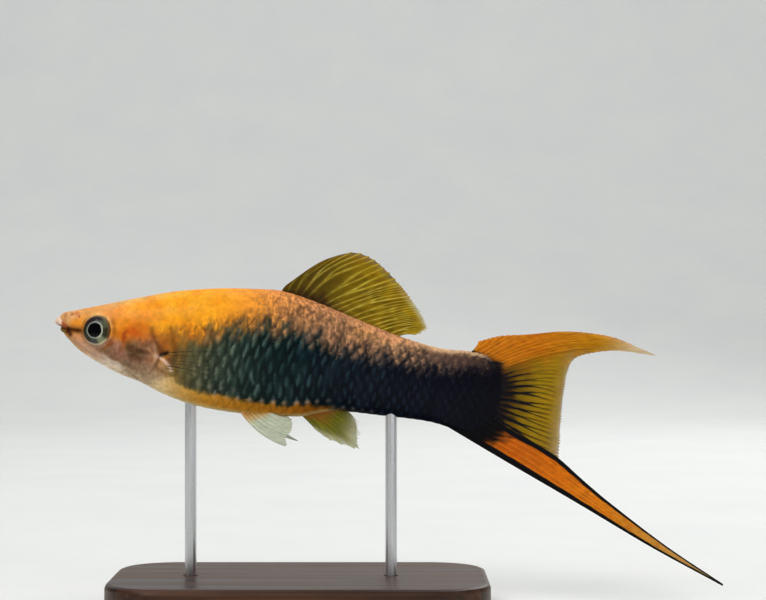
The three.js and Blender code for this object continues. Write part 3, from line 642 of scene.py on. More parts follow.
def face_marks(colour, points):
    """The face's spots and strokes, among them painted highlights and painted shade, and on the gill cover
    painted shade along the gap under its edge, its mottle and its lit edge.
    """
    x, z = points[..., 0], points[..., 2]
    wander = 0.5 * noise(points, 1.4, 31) + 0.25 * noise(points, 0.55, 35)
    ahead_of_trunk = rise(4.0, 1.0, behind_gill(x, z))
    for paint, centre, size, turn, strength in FACE_SPOTS:
        mask = spot(x + wander, z + 0.6 * wander, centre, size, turn, 0.55)
        colour = over(colour, strength * mask * ahead_of_trunk, paint)
    for paint, line, width, strength in FACE_STROKES:
        colour = over(colour, strength * bell(distance_to(x, z, line) / width), paint)
    behind = behind_gill(x, z)
    # painted shade: a dark line in the gap under the gill cover's rear edge, on its lower part
    gill_gap_shade = bell((behind - 0.2) / 0.26) * rise(-6.6, -4.4, z)
    colour = over(colour, 0.4 * gill_gap_shade * rise(-0.4, -2.0, z), (92, 58, 36))
    cover = rise(12, 13.5, x) * rise(0.4, -0.6, z) * rise(1.5, 0, behind)
    pale, deep = (0.3 * cover, 0.1, 0.6, (178, 138, 106)), (0.3 * cover, 0.1, 0.6, (74, 48, 34))
    colour = over_pattern(colour, noise(points, 0.6, 36), pale, deep)
    lit_edge = bell((behind + 0.35) / 0.28) * window(-6.6, -4.6, -2.0, 0.5, z)
    return over(colour, 0.45 * lit_edge, (206, 172, 140))


def face_mottle(colour, points):
    """Soft patches that break up the face: pink, olive and brown on the cheeks, redder and paler above."""
    x, z = points[..., 0], points[..., 2]
    cheek = rise(6, 9, x) * rise(-0.3, -1.8, z) * rise(3, 0, behind_gill(x, z))
    crown = rise(-0.6, 0.8, z) * window(9.5, 12, 24, 30, x)
    for seed, grain, high, low in (
        (32, 1.1, (0.22 * cheek, 0.05, 0.5, (170, 116, 106)), (0.22 * cheek, 0.05, 0.5, (136, 116, 70))),
        (33, 0.5, (0.16 * cheek, 0.2, 0.6, (222, 190, 158)), (0.14 * cheek, 0.2, 0.6, (92, 64, 48))),
        (34, 1.9, (0.26 * crown, 0, 0.5, (226, 116, 24)), (0.18 * crown, 0.1, 0.5, (255, 184, 80))),
    ):
        colour = over_pattern(colour, noise(points, grain, seed), high, low)
    return colour


def eye_ring_marks(colour, points, reach):
    """The pale lid-like rim round the eye, painted shade of the orbit as a brown arc behind it, and painted
    shade where the skin tucks under the eye.
    """
    x, z = points[..., 0], points[..., 2]
    height = (z - EYE["z"]) / np.maximum(reach, 0.1)
    rearward = (x - EYE["x"]) / np.maximum(reach, 0.1)
    near = bell((reach - 2.75) / 0.3)
    colour = over(colour, 0.7 * near * rise(-0.2, 0.9, height), (236, 188, 122))
    colour = over(colour, 0.6 * near * rise(-0.2, 0.9, -height), (178, 142, 122))
    # painted shade: the orbit's shadow, brown behind the eye
    orbit_shade = bell((reach - 3.15) / 0.32) * rise(0.2, 0.75, rearward) * rise(0.9, 0.6, height)
    colour = over(colour, 0.6 * orbit_shade, (152, 84, 26))
    front = bell((reach - 2.72) / 0.2) * rise(0.2, 0.9, -rearward)
    colour = over(colour, 0.5 * front, (128, 70, 26))
    # painted shade: a dark ring where the skin tucks under the eye's rim
    return over(colour, rise(2.5, 2.25, reach), (40, 26, 18))


def skin_paint(points, scale, reach):
    """The skin's colours, with how strongly the material's flecks show in the fourth place."""
    colour, dark, below = zone_colours(points, scale)
    colour = scale_marks(colour, points, scale, dark, below)
    colour = flecks(colour, points, dark, below)
    colour = edge_marks(colour, points)
    colour = face_mottle(colour, points)
    colour = face_marks(colour, points)
    colour = eye_ring_marks(colour, points, reach)
    x, z = points[..., 0], points[..., 2]
    # painted shade: darker inside the nostril pits
    for nx, nz, radius in NOSTRILS:
        colour = over(colour, 0.35 * rise(1.3, 0.4, np.hypot(x - nx, z - nz) / radius), (128, 60, 52))
    # painted shade: the dark gap of the mouth between the lips
    mouth = bell(distance_to(x, z, MOUTH_LINE) / 0.3)
    colour = over(colour, 0.9 * mouth, (92, 42, 22))
    grain = 1 + 0.07 * noise(points, 0.5, 41)[..., None] + 0.05 * noise(points, 1.6, 42)[..., None]
    near_dark = rise(-4.6, -1.2, orange_down_to(x) - z) * rise(20, 26, x)
    flecked = np.maximum(near_dark, rise(31, 37, x)) * rise(67, 61, x)
    cheek = window(8, 11, 18, 22, x) * rise(1, -1.5, z)
    flecked = 0.34 * flecked * (1 - below) * (1 - 0.75 * dark) + 0.12 * cheek
    return with_fourth(colour * grain, 0.04 + flecked)


# Skin

def skin_rings():
    """The body's rings, pushed outwards or inwards by the relief, and their paint."""
    base = np.stack([ring_at(x) for x in ring_places()])
    x, z = base[..., 0], base[..., 2]
    off_middle = (2 * z - back_at(x) - belly_at(x)) / (back_at(x) - belly_at(x))
    base[..., 0] += STEM_BOW * rise(66, BODY_END, x) * (1 - off_middle**2)
    around = np.broadcast_to(np.arange(SKIN_POINTS_ROUND) / SKIN_POINTS_ROUND, x.shape)
    scale = scale_lattice(base, around)
    reach = np.minimum(eye_reach(base, LEFT), eye_reach(base, RIGHT))
    ahead, off = scale[:2]
    step = SCALE_STEP * (1 - ahead) * (1 - 0.25 * off**2)
    relief = scale_cover(x, z) * (step - 0.4 * SCALE_STEP)
    relief += cover_relief(x, z) + face_relief(x, z) + socket_relief(reach)
    down = np.gradient(base, axis=0)
    round_it = np.roll(base, -1, 1) - np.roll(base, 1, 1)
    outward = np.cross(round_it, down)
    outward /= np.linalg.norm(outward, axis=-1, keepdims=True)
    middle = base.mean(1, keepdims=True)
    outward *= np.sign(np.einsum("rkc,rkc->r", outward, base - middle))[:, None, None]
    return base + relief[..., None] * outward, skin_paint(base, scale, reach)


MOUTH_CORNER = {"x": 2.15, "y": 1.75, "z": -1.0}


def lip_rings(front_x, front_z, corner_lift, radius_front, radius_corner):
    """A lip is a bent roll from one corner of the mouth round the front to the other."""
    t = np.linspace(-1, 1, 65)
    bend = np.abs(t) ** 2.2
    centre = np.stack([
        mix(front_x, MOUTH_CORNER["x"], bend),
        MOUTH_CORNER["y"] * np.sin(t * math.pi / 2),
        mix(front_z, MOUTH_CORNER["z"] + corner_lift, bend),
    ], -1)
    radius = mix(radius_front, radius_corner, bend)
    run = np.stack([1.8 * t, 1.1 - np.abs(t), 0 * t], -1)
    run /= np.linalg.norm(run, axis=-1, keepdims=True)
    across = np.stack([-run[:, 1], run[:, 0], 0 * t], -1)
    turn = np.linspace(0, 2 * math.pi, 24, endpoint=False)[:, None]
    up = np.array([0, 0, 1])
    rings = [c + r * (np.cos(turn) * a + np.sin(turn) * up) for c, r, a in zip(centre, radius, across)]
    return np.stack(rings)


def lip_paint(rings, front, corner):
    x = rings[..., 0]
    colour = over(plain(x, front), rise(0.9, 1.3, x), corner)
    # painted shade: the lips darker along the gap of the mouth
    lip_slit_shade = bell(distance_to(x, rings[..., 2], MOUTH_LINE) / 0.3)
    colour = over(colour, 0.75 * lip_slit_shade, (104, 50, 34))
    return with_fourth(colour * (1 + 0.05 * noise(rings, 0.4, 51)[..., None]), 0 * x)


def make_skin(material):
    surface = Surface()
    rings, paint = skin_rings()
    add_tube(surface, rings, paint, ((0, 0), (0.9, 1)))
    upper = lip_rings(front_x=0.36, front_z=0.35, corner_lift=0.4, radius_front=0.7, radius_corner=0.3)
    lower = lip_rings(front_x=1.2, front_z=-0.95, corner_lift=-0.3, radius_front=0.42, radius_corner=0.3)
    add_tube(surface, upper, lip_paint(upper, (230, 200, 176), (160, 84, 50)), ((0.92, 0), (0.03, 1)))
    add_tube(surface, lower, lip_paint(lower, (176, 158, 92), (112, 92, 30)), ((0.96, 0), (0.03, 1)))
    skin = surface.build("skin", material)
    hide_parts("head", "gill_cover_left", "gill_cover_right", "trunk", "tail_stem")


# Eyes

def eye_paint(reach, angle):
    """A black pupil in a silver ring, and a dark olive iris with a pale rim, both with a painted highlight at
    the lower rear. Angle 0 faces the tail.
    """
    height, rearward = np.sin(angle), np.cos(angle)
    wobble = 0.025 * np.sin(3 * angle + 0.6) + 0.015 * np.sin(7 * angle)
    iris = plain(reach, (46, 44, 28))
    fibres = 0.5 + 0.5 * np.sin(46 * angle + 3 * np.sin(5 * angle) + 4 * reach)
    iris = over(iris, 0.25 * fibres, (84, 78, 48))
    iris = over(iris, 0.8 * rise(0.3, 0.9, height - 0.3 * rearward), (48, 28, 36))
    iris = over(iris, 0.4 * rise(0.5, 1, height + 0.4 * rearward), (44, 56, 48))
    # painted highlight: a pale wedge at the lower rear of the iris and of its rim
    low_rear_highlight = rise(0.88, 1.0, 0.66 * rearward - 0.75 * height)
    iris = over(iris, 0.6 * low_rear_highlight, (192, 200, 160))
    iris = over(iris, 0.4 * rise(0.9, 1, -height), (92, 104, 116))
    iris = over(iris, 0.6 * rise(0.86, 1.0, 0.75 * rearward + 0.66 * height), (112, 114, 84))
    outer = plain(reach, (104, 70, 36))
    outer = over(outer, rise(0.2, 0.9, height), (112, 98, 70))
    outer = over(outer, rise(0.3, 0.9, -height), (186, 160, 134))
    outer = over(outer, 0.8 * low_rear_highlight, (216, 208, 164))
    colour = over(iris, rise(2.14, 2.36, reach + wobble), outer)
    silver = over(plain(reach, (140, 150, 140)), rise(0, 1, rearward), (192, 196, 176))
    ring = window(1.2, 1.3, 1.42, 1.54, reach + wobble)
    colour = over(colour, 0.92 * ring, silver)
    colour = over(colour, rise(1.28, 1.18, reach + wobble), (2, 2, 4))
    return with_fourth(colour, np.ones_like(reach))


def make_eye(name, side, material):
    rings, points_round = 72, 128
    centre, outward = eye_seat(side)
    centre = centre - EYE["sunk"] * outward
    rearward = np.array([1, 0, 0]) - outward[0] * outward
    rearward /= np.linalg.norm(rearward)
    upward = np.cross(rearward, outward) * side
    latitude = np.linspace(0.01, math.pi - 0.01, rings)[:, None]
    angle = np.linspace(0, 2 * math.pi, points_round, endpoint=False)[None, :]
    reach = EYE["radius"] * np.sin(latitude)
    height = EYE["half_depth"] * np.cos(latitude) + 0 * angle
    points = (
        centre
        + (reach * np.cos(angle))[..., None] * rearward
        + (reach * np.sin(angle))[..., None] * upward
        + height[..., None] * outward
    )
    aside = reach * np.cos(angle) - PUPIL_SHIFT[0]
    above = reach * np.sin(angle) - PUPIL_SHIFT[1]
    surface = Surface()
    add_tube(surface, points, eye_paint(np.hypot(aside, above), np.arctan2(above, aside)), ((0, 0), (1, 1)))
    eye = surface.build(name, material)
    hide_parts(name)


# Fins

def ray_profile(u, v, rays, splits, width):
    """1 on a ray and 0 between rays. A ray may split in two past its middle, and again near its tip."""
    w = u * rays - np.floor(np.clip(u * rays, 0, rays - 1e-6)) - 0.5
    first = 0.25 * (splits > 0) * rise(0.3, 0.75, v)
    second = 0.125 * (splits > 1) * rise(0.62, 1.0, v)
    width = width * mix(0.17, 0.07, rise(0, 1, v))
    branches = [bell((w - a * first - b * second) / width) for a in (-1, 1) for b in (-1, 1)]
    return np.maximum.reduce(branches)


def sheet_faces(rows, columns):
    """The triangles of a closed sheet, and their places on the unwrap: its two faces and the wall round them.
    The second face's points follow the first one's."""
    faces, places = grid_faces(rows, columns)
    share = places / (rows - 1, columns - 1)
    count = rows * columns
    edge = np.concatenate([
        np.arange(columns), np.arange(1, rows) * columns + columns - 1,
        (rows - 1) * columns + np.arange(columns - 2, -1, -1), np.arange(rows - 2, -1, -1) * columns,
    ])
    wall, wall_places = grid_faces(2, len(edge))
    wall = np.concatenate([edge + count, edge])[wall]
    wall_corners = np.stack([wall_places[..., 1] / (len(edge) - 1), 0.51 - 0.02 * wall_places[..., 0]], -1)
    corners = [share * (1, 0.48), share[:, ::-1] * (1, 0.48) + (0, 0.52), wall_corners]
    return np.concatenate([faces, faces[:, ::-1] + count, wall]), np.concatenate(corners)


def fin_sheet(
    path, place, paint, rays, seed, columns_per_ray=16, rows=60, overrun=0.5, rounding=0, ripple=0.1,
    membrane=0.09, ridge=0.13, splits=2, ray_width=1, sway=0.3, uneven=0.3,
):
    """A fin as one closed thin sheet. path(u, v) is its place in the side view: u runs from its first ray to
    its last, v from its root inside the body to its tip. place(x, z) is its distance from the middle plane.
    paint(u, v, x, z, ray) gives its colours, with how opaque it is in the fourth place."""
    columns = rays * columns_per_ray + 1
    u, v = np.meshgrid(np.linspace(0, 1, columns), np.linspace(0, 1, rows))
    own = np.random.default_rng(seed).random(rays + 1)[np.clip(np.floor(u * rays), 0, rays - 1).astype(int)]
    drift = noise(np.stack([u * rays, 0 * u, 3 * v], -1), 1.6, seed)
    swayed = np.clip(u + sway / rays * drift, 0, 1)

    tip_ray = ray_profile(swayed[-1], 1.0, rays, splits, ray_width)
    past_tip = overrun * mix(0.4, 1, u) * (tip_ray * mix(0.35, 1, own) - 0.55)
    past_tip = past_tip - rounding * (bell(u / 0.07) + bell((1 - u) / 0.07))
    reach = path(u, 1.0) - path(u, 0.0)
    x, z = np.moveaxis(path(u, v * (1 + past_tip / np.hypot(reach[..., 0], reach[..., 1]))), -1, 0)

    ray = ray_profile(swayed, v, rays, splits, ray_width) * mix(1, own, uneven)
    wave = ripple * np.sin(math.pi * u * rays + 2.2 * v) * rise(0.15, 1, v)
    centre = np.stack([x, place(x, z) + wave, z], -1)
    half = (membrane + ridge * ray) * mix(1, 0.5, rise(0.3, 1, v))
    offset = half[..., None] * facing(place, x, z)
    points = np.concatenate([(centre - offset).reshape(-1, 3), (centre + offset).reshape(-1, 3)])
    surface = Surface()
    surface.add(points, *sheet_faces(rows, columns), np.tile(paint(u, v, x, z, ray).reshape(-1, 4), (2, 1)))
    return surface


def bent_rays(root, middle, tip):
    """Rays that bend once: from root(u) through middle(u) to tip(u)."""
    def path(u, v):
        a, m, b = root(u), middle(u), tip(u)
        v = np.asarray(v)[..., None]
        control = 2 * m - 0.5 * (a + b)
        return (1 - v) ** 2 * a + 2 * v * (1 - v) * control + v**2 * b
    return path


def bowed_rays(root, tip, bow_first, bow_last):
    """Rays that bow off the straight line, by so much at the first ray and at the last."""
    def middle(u):
        a, b = root(u), tip(u)
        run = b - a
        push = mix(bow_first, bow_last, u) / np.hypot(run[..., 0], run[..., 1])
        return (a + b) / 2 + push[..., None] * np.stack([-run[..., 1], run[..., 0]], -1)
    return bent_rays(root, middle, tip)


def side_noise(x, z, grain, seed):
    return noise(np.stack([x, 0 * x, z], -1), grain, seed)


def dorsal_fin():
    first, last = 37.3, 57.1

    def root(u):
        x = mix(first, last, u)
        return np.stack([x - 0.6, back_at(x) - 1.4], -1)

    tip = curve([
        (0, 39.0, 13.5), (0.05, 42.0, 16.7), (0.1, 45.0, 18.6), (0.15, 48.2, 19.7), (0.22, 51.5, 19.05),
        (0.3, 54.2, 17.4), (0.38, 56.4, 15.7), (0.46, 57.8, 14.5), (0.55, 59.0, 13.3), (0.68, 60.8, 11.4),
        (0.82, 61.9, 9.9), (0.92, 62.3, 8.7), (1, 60.9, 7.35),
    ])

    def paint(u, v, x, z, ray):
        grain = side_noise(x, z, 1.1, 61)
        colour = over(plain(u, (140, 114, 0)), rise(0.35, 0.9, v), (150, 128, 0))
        broken = 0.75 + 0.45 * side_noise(x, z, 0.7, 62)
        colour = over(colour, 0.95 * ray * broken * rise(0.1, 0.4, v + 0.4 * u), (212, 194, 86))
        between = rise(0.6, 0.1, ray) * rise(0.15, 0.3, v)
        colour = over(colour, 0.3 * between * (1 + 1.2 * grain), (84, 66, 0))
        front = rise(0.36, 0.05, u + 0.3 * (v - 0.6) + 0.06 * grain)
        colour = over(colour, 0.6 * front * (1 - 0.6 * ray), (48, 38, 2))
        base = rise(0.34, 0.15, v + 0.14 * u + 0.05 * grain)
        colour = over(colour, 0.85 * base * (1 - 0.4 * ray), (44, 28, 6))
        whiter = rise(0.88, 1, v) * rise(0.35, 0.7, u)
        colour = over(colour, 0.8 * whiter, (206, 208, 186))
        return with_fourth(colour, 0.93 - 0.25 * rise(0.88, 1, v) * (1 - ray))

    place = lambda x, z: 0.45 * np.sin((x - first) / 6) * rise(10, 18, z)
    return fin_sheet(
        bowed_rays(root, tip, 0.7, 0.7), place, paint, rays=17, seed=3, columns_per_ray=18,
        overrun=0.6, splits=1, ray_width=1.1, sway=0.4, uneven=0.45,
    )


def tail_place(x, _):
    return 0.9 * np.sin((x - 75) / 15) * rise(75, 90, x)


tail_path = bent_rays(
    curve([(0, 69.6, 5.3), (0.2, 72.4, 4.4), (0.5, 73.6, 2.2), (0.75, 73.6, -0.6), (1, 73.0, -3.4)]),
    curve([
        (0, 70.9, 6.9), (0.12, 76, 8.4), (0.24, 80.6, 9.2), (0.3, 83, 9.4), (0.36, 86, 9.5),
        (0.417, 88, 9.55), (0.45, 86.2, 8.5), (0.48, 83.5, 7.5), (0.53, 81.8, 6.3), (0.6, 81.3, 4.7),
        (0.68, 81.3, 2.6), (0.76, 81.4, 0.1), (0.84, 81.4, -2.4), (0.92, 81.3, -4.6), (1, 81.0, -6.9),
    ]),
    curve([
        (0, 71.2, 8.0), (0.06, 74.7, 9.5), (0.12, 79.7, 10.6), (0.18, 84.7, 11.85), (0.24, 88.9, 12.35),
        (0.3, 94.1, 12.3), (0.36, 98.6, 11.2), (0.417, 101.3, 10.3), (0.45, 95.5, 10.2), (0.48, 91.4, 9.3),
        (0.53, 88.2, 7.8), (0.6, 87.1, 5.4), (0.68, 87, 2.6), (0.76, 87.1, -0.1), (0.84, 87.3, -2.9),
        (0.92, 87.6, -5.8), (1, 88.0, -9.6),
    ]),
)
dark_tail_to = through([
    (-8.7, 73.3), (-6.9, 76), (-4.7, 77), (-2, 77.4), (1.3, 76.9), (4.5, 75.3), (5.4, 74.2), (6.2, 71.8),
    (7, 67), (9, 62),
])


def tail_fin():
    def paint(u, v, x, z, ray):
        grain = side_noise(x, z, 1.3, 71)
        fine = side_noise(x / 3, z, 0.35, 72)
        lobe = rise(0.66, 0.34, u + 0.05 * grain)
        fan = over(plain(u, (146, 118, 8)), rise(0.2, 0.8, v), (158, 130, 14))
        dark_rays = rise(0.25, 0.7, ray) * rise(87, 83, x + 0.8 * grain)
        fan = over(fan, mix(0.35, 0.85, rise(0.6, 0.9, u)) * dark_rays, (52, 34, 6))
        fan = over(fan, 0.85 * rise(83, 75.5, x + 0.8 * grain), (62, 38, 8))
        orange = over(plain(u, (200, 118, 8)), rise(80, 92, x), (182, 132, 10))
        orange = over(orange, 0.45 * ray, (230, 152, 34))
        orange = over(orange, 0.4 * (1 - ray) * (0.5 + fine), (162, 92, 4))
        colour = over(fan, lobe, orange)
        tip_pale = rise(90.5, 99, x)
        colour = over(colour, 0.85 * tip_pale, (222, 206, 176))
        top = rise(0.86, 1, v) * rise(0.4, 0.25, u)
        colour = over(colour, 0.55 * top, (226, 168, 104))
        feather = 1.2 * fine + 0.9 * grain - 4.2 * ray**0.6 * rise(0.4, 0.7, u)
        black = rise(2.2, -1.2, x - dark_tail_to(z) + feather)
        colour = over(colour, black, (12, 10, 16))
        fan_edge = rise(84.5, 87.5, x) * (1 - lobe)
        alpha = 0.95 - 0.25 * fan_edge - 0.2 * tip_pale - 0.3 * rise(0.93, 1, v) * (1 - ray)
        return with_fourth(colour, alpha)

    return fin_sheet(tail_path, tail_place, paint, rays=22, seed=5, rows=80, overrun=0.7)


sword_lower = curve([
    (0, 66.2, -6.3), (0.25, 79, -11.4), (0.5, 92.5, -16.7), (0.75, 106, -22.1), (1, *SWORD_TIP),
])
sword_upper = curve([
    (0, 75.6, -4.5), (0.08, 79.4, -6.1), (0.16, 83.2, -7.5), (0.25, 87.5, -9.3), (0.37, 92.5, -12.5),
    (0.5, 97.6, -15.6), (0.75, 108.5, -21.5), (1, SWORD_TIP[0], SWORD_TIP[1] + 0.35),
])


def sword():
    def path(u, v):
        return mix(sword_lower(v), sword_upper(v), np.asarray(u)[..., None])

    def paint(u, v, x, z, ray):
        grain = side_noise(x, z, 0.9, 81)
        colour = along(x, [
            (72, (160, 74, 18)), (78, (196, 92, 14)), (88, (218, 112, 12)), (98, (220, 132, 24)),
            (106, (208, 154, 66)), (112, (206, 172, 106)), (119, (206, 188, 146)),
        ])
        colour = over(colour, 0.3 * ray, (244, 164, 60))
        colour = over(colour, 0.3 * (1 - ray) * (0.6 + grain), (160, 78, 8))
        from_lower = distance_to(x, z, sword_lower(np.linspace(0, 1, 20)))
        from_upper = distance_to(x, z, sword_upper(np.linspace(0, 1, 20)))
        lower_line = mix(1.05, 0.26, rise(72, 116, x))
        upper_line = mix(0.8, 0.2, rise(78, 112, x))
        black = np.maximum(
            rise(lower_line + 0.14, lower_line - 0.12, from_lower + 0.06 * grain),
            rise(upper_line + 0.14, upper_line - 0.1, from_upper + 0.06 * grain),
        )
        feather = 1.2 * side_noise(x / 4, z, 0.4, 82) + 0.8 * grain
        black = np.maximum(black, rise(3.4, -0.8, x - dark_tail_to(z) - 1.5 + feather))
        return with_fourth(over(colour, black, (10, 9, 12)), np.ones_like(u))

    place = lambda x, z: tail_place(x, z) + 1.1 * rise(85, 125, x)
    return fin_sheet(
        path, place, paint, rays=6, seed=7, rows=220, overrun=0, ripple=0, membrane=0.2, ridge=0.1,
    )


def anal_fin():
    def root(u):
        x = mix(42.7, 49.6, u)
        return np.stack([x - 0.9, belly_at(x) + 1.4], -1)

    tip = curve([
        (0, 46.8, -11.7), (0.12, 49.2, -12.6), (0.24, 53.7, -13.3), (0.36, 53.9, -12.5), (0.52, 53.7, -11.2),
        (0.75, 53.5, -9.7), (1, 52.9, -8.3),
    ])

    def paint(u, v, x, z, ray):
        colour = over(plain(u, (152, 92, 4)), rise(0.25, 0.55, v), (116, 122, 4))
        colour = over(colour, 0.5 * ray, (172, 158, 52))
        colour = over(colour, 0.5 * (1 - ray) * rise(0.3, 0.5, v), (92, 84, 0))
        lower = rise(0.75, 0.35, u)
        colour = over(colour, 0.7 * rise(0.6, 1, v) * mix(0.5, 1, lower), (186, 196, 158))
        return with_fourth(colour, 0.9 - 0.4 * rise(0.5, 1, v) * (1 - 0.8 * ray))

    place = lambda x, z: 0.3 * np.sin((x - 43) / 4)
    return fin_sheet(
        bowed_rays(root, tip, 0.15, 0.15), place, paint, rays=9, seed=11, overrun=1.3,
        rounding=0.5, splits=1, ray_width=1.2, uneven=0.5,
    )


def pelvic_fin(side):
    swing = 0 if side == LEFT else 1
    root = curve([(0, 32.4, -9.2), (1, 37.0, -8.9)])
    tip = curve([
        (0, 42.2 + 2.0 * swing, -14.6 + 0.8 * swing), (0.15, 41.9 + 0.3 * swing, -13.9 + 0.8 * swing),
        (0.35, 41.6 - 0.5 * swing, -13.0 + 0.3 * swing), (0.6, 42.3 - 0.4 * swing, -12.0),
        (0.8, 42.4 - 0.4 * swing, -10.9), (1, 42.0, -9.9),
    ])

    def paint(u, v, x, z, ray):
        colour = over(plain(u, (196, 132, 46)), rise(0.12, 0.42, v), (206, 212, 190))
        colour = over(colour, 0.5 * ray * mix(1, 0.5, v), (232, 238, 216))
        between = (1 - ray) * rise(0.25, 0.5, v)
        colour = over(colour, 0.4 * between * mix(1, 0.3, u), (142, 160, 124))
        return with_fourth(colour, 0.76 + 0.15 * ray - 0.12 * rise(0.5, 1, v) * (1 - ray))

    place = lambda x, z: side * (1.05 + 0.3 * np.maximum(0, -9.8 - z) + 0.1 * np.maximum(0, x - 34))
    return fin_sheet(
        bowed_rays(root, tip, -1.1, -0.2), place, paint, rays=6, seed=18 + side,
        columns_per_ray=20, overrun=0.45, rounding=0.4, splits=1, ray_width=1.6, uneven=0.5, ridge=0.07,
    )


def pectoral_fin(side):
    root = curve([(0, 18.3, -2.2), (1, 19.2, -4.7)])
    tip = curve([
        (0, 28.9, 0.1), (0.2, 29.9, -1.0), (0.5, 29.9, -2.9), (0.8, 28.3, -4.9), (1, 26.4, -5.9),
    ])

    def paint(u, v, x, z, ray):
        colour = over(plain(u, (208, 160, 104)), rise(0.05, 0.2, v), (150, 146, 108))
        line = rise(0.25, 0.75, ray)
        colour = over(colour, line * rise(0.08, 0.25, v), (26, 28, 14))
        clear = mix(0.7, 0.015, rise(0.02, 0.15, v))
        return with_fourth(colour, clear + 0.8 * line * (1 - 0.75 * v))

    flare = 0.3  # sideways for each millimetre backwards
    place = lambda x, z: side * (4.75 + flare * (x - 18) + 0.12 * (z + 3))
    return fin_sheet(
        bowed_rays(root, tip, 0.25, 0.25), place, paint, rays=7, seed=24 + side,
        columns_per_ray=24, rounding=0.8, splits=0, ray_width=1.0, sway=0.2, uneven=0.35, membrane=0.06,
        ridge=0.05, ripple=0.04,
    )


# Materials

class Look:
    """A material in the making. values are what its main shader has all over."""

    def __init__(self, name, **values):
        self.material = bpy.data.materials.new(name)
        self.material.use_nodes = True
        self.tree = self.material.node_tree
        self.main = self.tree.nodes["Principled BSDF"]
        for socket, value in values.items():
            self.main.inputs[socket.replace("_", " ")].default_value = value

    def node(self, kind, inputs, **settings):
        """A node with its settings, and inputs that are values or other nodes' outputs."""
        node = self.tree.nodes.new(kind)
        for name, value in settings.items():
            setattr(node, name, value)
        for name, value in inputs.items():
            if isinstance(value, bpy.types.NodeSocket):
                self.tree.links.new(value, node.inputs[name])
            else:
                node.inputs[name].default_value = value
        return node

    def tint(self, channel):
        """What the mesh says of each point: its Color, or its fourth value as Alpha."""
        return self.node("ShaderNodeAttribute", {}, attribute_name="tint").outputs[channel]

    def noise(self, scale, detail=3, stretch=(1, 1, 1)):
        """Noise over the object's own coordinates, in metres."""
        where = self.node("ShaderNodeTexCoord", {}).outputs["Object"]
        place = self.node("ShaderNodeMapping", {"Vector": where, "Scale": stretch}).outputs[0]
        return self.node("ShaderNodeTexNoise", {"Vector": place, "Scale": scale, "Detail": detail}).outputs[0]

    def ranged(self, value, low, high, start=0.3, end=0.7):
        inputs = {"Value": value, "From Min": start, "From Max": end, "To Min": low, "To Max": high}
        return self.node("ShaderNodeMapRange", inputs).outputs[0]

    def blended(self, kind, factor, a, b):
        inputs = {0: factor, 6: a, 7: b}
        return self.node("ShaderNodeMix", inputs, data_type="RGBA", blend_type=kind).outputs[2]

    def bump(self, heights, distance, strength):
        inputs = {"Height": heights, "Distance": distance, "Strength": strength}
        return self.node("ShaderNodeBump", inputs).outputs[0]

    def finished(self, **outputs):
        """The material, once these outputs drive its main shader."""
        for socket, output in outputs.items():
            self.tree.links.new(output, self.main.inputs[socket.replace("_", " ")])
        return self.material


def skin_material():
    look = Look(
        "fish_skin", Specular_IOR_Level=0.04, Coat_Weight=0.055, Coat_Roughness=0.12, Subsurface_Weight=0.04,
        Subsurface_Scale=0.0005,
    )
    fine = look.noise(2600, 4)
    colour = look.blended("MULTIPLY", 0.2, look.tint("Color"), look.ranged(fine, 0.72, 1.2))
    flecks = look.ranged(look.noise(2100, 5, (1.15, 1, 0.5)), 0.2, 1.75, 0.38, 0.62)
    return look.finished(
        Base_Color=look.blended("MULTIPLY", look.tint("Alpha"), colour, flecks),
        Roughness=look.ranged(look.noise(900), 0.3, 0.5),
        Normal=look.bump(fine, 0.00004, 0.35),
    )


def eye_material():
    look = Look("fish_eye", Specular_IOR_Level=0.0, Coat_Weight=0.2, Coat_Roughness=0.02)
    fine = look.noise(3500)
    return look.finished(
        Base_Color=look.blended("MULTIPLY", 0.4, look.tint("Color"), look.ranged(fine, 0.7, 1.2)),
        Roughness=look.ranged(fine, 0.25, 0.4),
    )


def fin_material(name, subsurface):
    look = Look(
        name, Specular_IOR_Level=0.05, Coat_Weight=0.04, Coat_Roughness=0.2, Subsurface_Weight=subsurface,
        Subsurface_Scale=0.0006,
    )
    fine = look.noise(2200, 3, (0.35, 1, 1))
    return look.finished(
        Base_Color=look.blended("MULTIPLY", 0.5, look.tint("Color"), look.ranged(fine, 0.75, 1.2)),
        Alpha=look.tint("Alpha"),
        Roughness=look.ranged(fine, 0.35, 0.5),
        Normal=look.bump(fine, 0.00004, 0.3),
    )


def wood_material():
    look = Look("dark_wood", Specular_IOR_Level=0.2, Coat_Weight=0.05, Coat_Roughness=0.25)
    grain = look.noise(60, 6, (0.35, 6, 6))
    pores = look.noise(420, 3, (0.12, 3, 3))
    ramp = look.node("ShaderNodeValToRGB", {"Fac": grain})
    for stop, place, paint in zip(ramp.color_ramp.elements, (0.3, 0.72), ((34, 20, 13), (92, 58, 36))):
        stop.position = place
        stop.color = (*linear(paint), 1)
    dark = look.ranged(pores, 0.5, 1, 0.4, 0.55)
    return look.finished(
        Base_Color=look.blended("MULTIPLY", 0.7, ramp.outputs[0], dark),
        Roughness=look.ranged(grain, 0.32, 0.48),
        Normal=look.bump(pores, 0.0001, 0.25),
    )


def steel_material():
    look = Look("brushed_steel", Metallic=1.0)
    brushed = look.noise(900, 3, (1, 1, 0.06))
    shade = look.ranged(brushed, 0, 1)
    return look.finished(
        Base_Color=look.blended("MIX", shade, (0.5, 0.5, 0.51, 1), (0.72, 0.72, 0.73, 1)),
        Roughness=look.ranged(brushed, 0.2, 0.36),
        Normal=look.bump(brushed, 0.00002, 0.3),
    )


def paper_material():
    look = Look("studio_paper", Roughness=0.7)
    shade = look.ranged(look.noise(30, 4), 0, 1)
    pale, paler = (*linear((226, 228, 226)), 1), (*linear((231, 232, 229)), 1)
    return look.finished(Base_Color=look.blended("MIX", shade, pale, paler))


# Stand

def dress(material, slot, *names):
    for name in names:
        node = frame["nodes"][name]
        for held in node.material_slots:
            held.material = material


# Studio

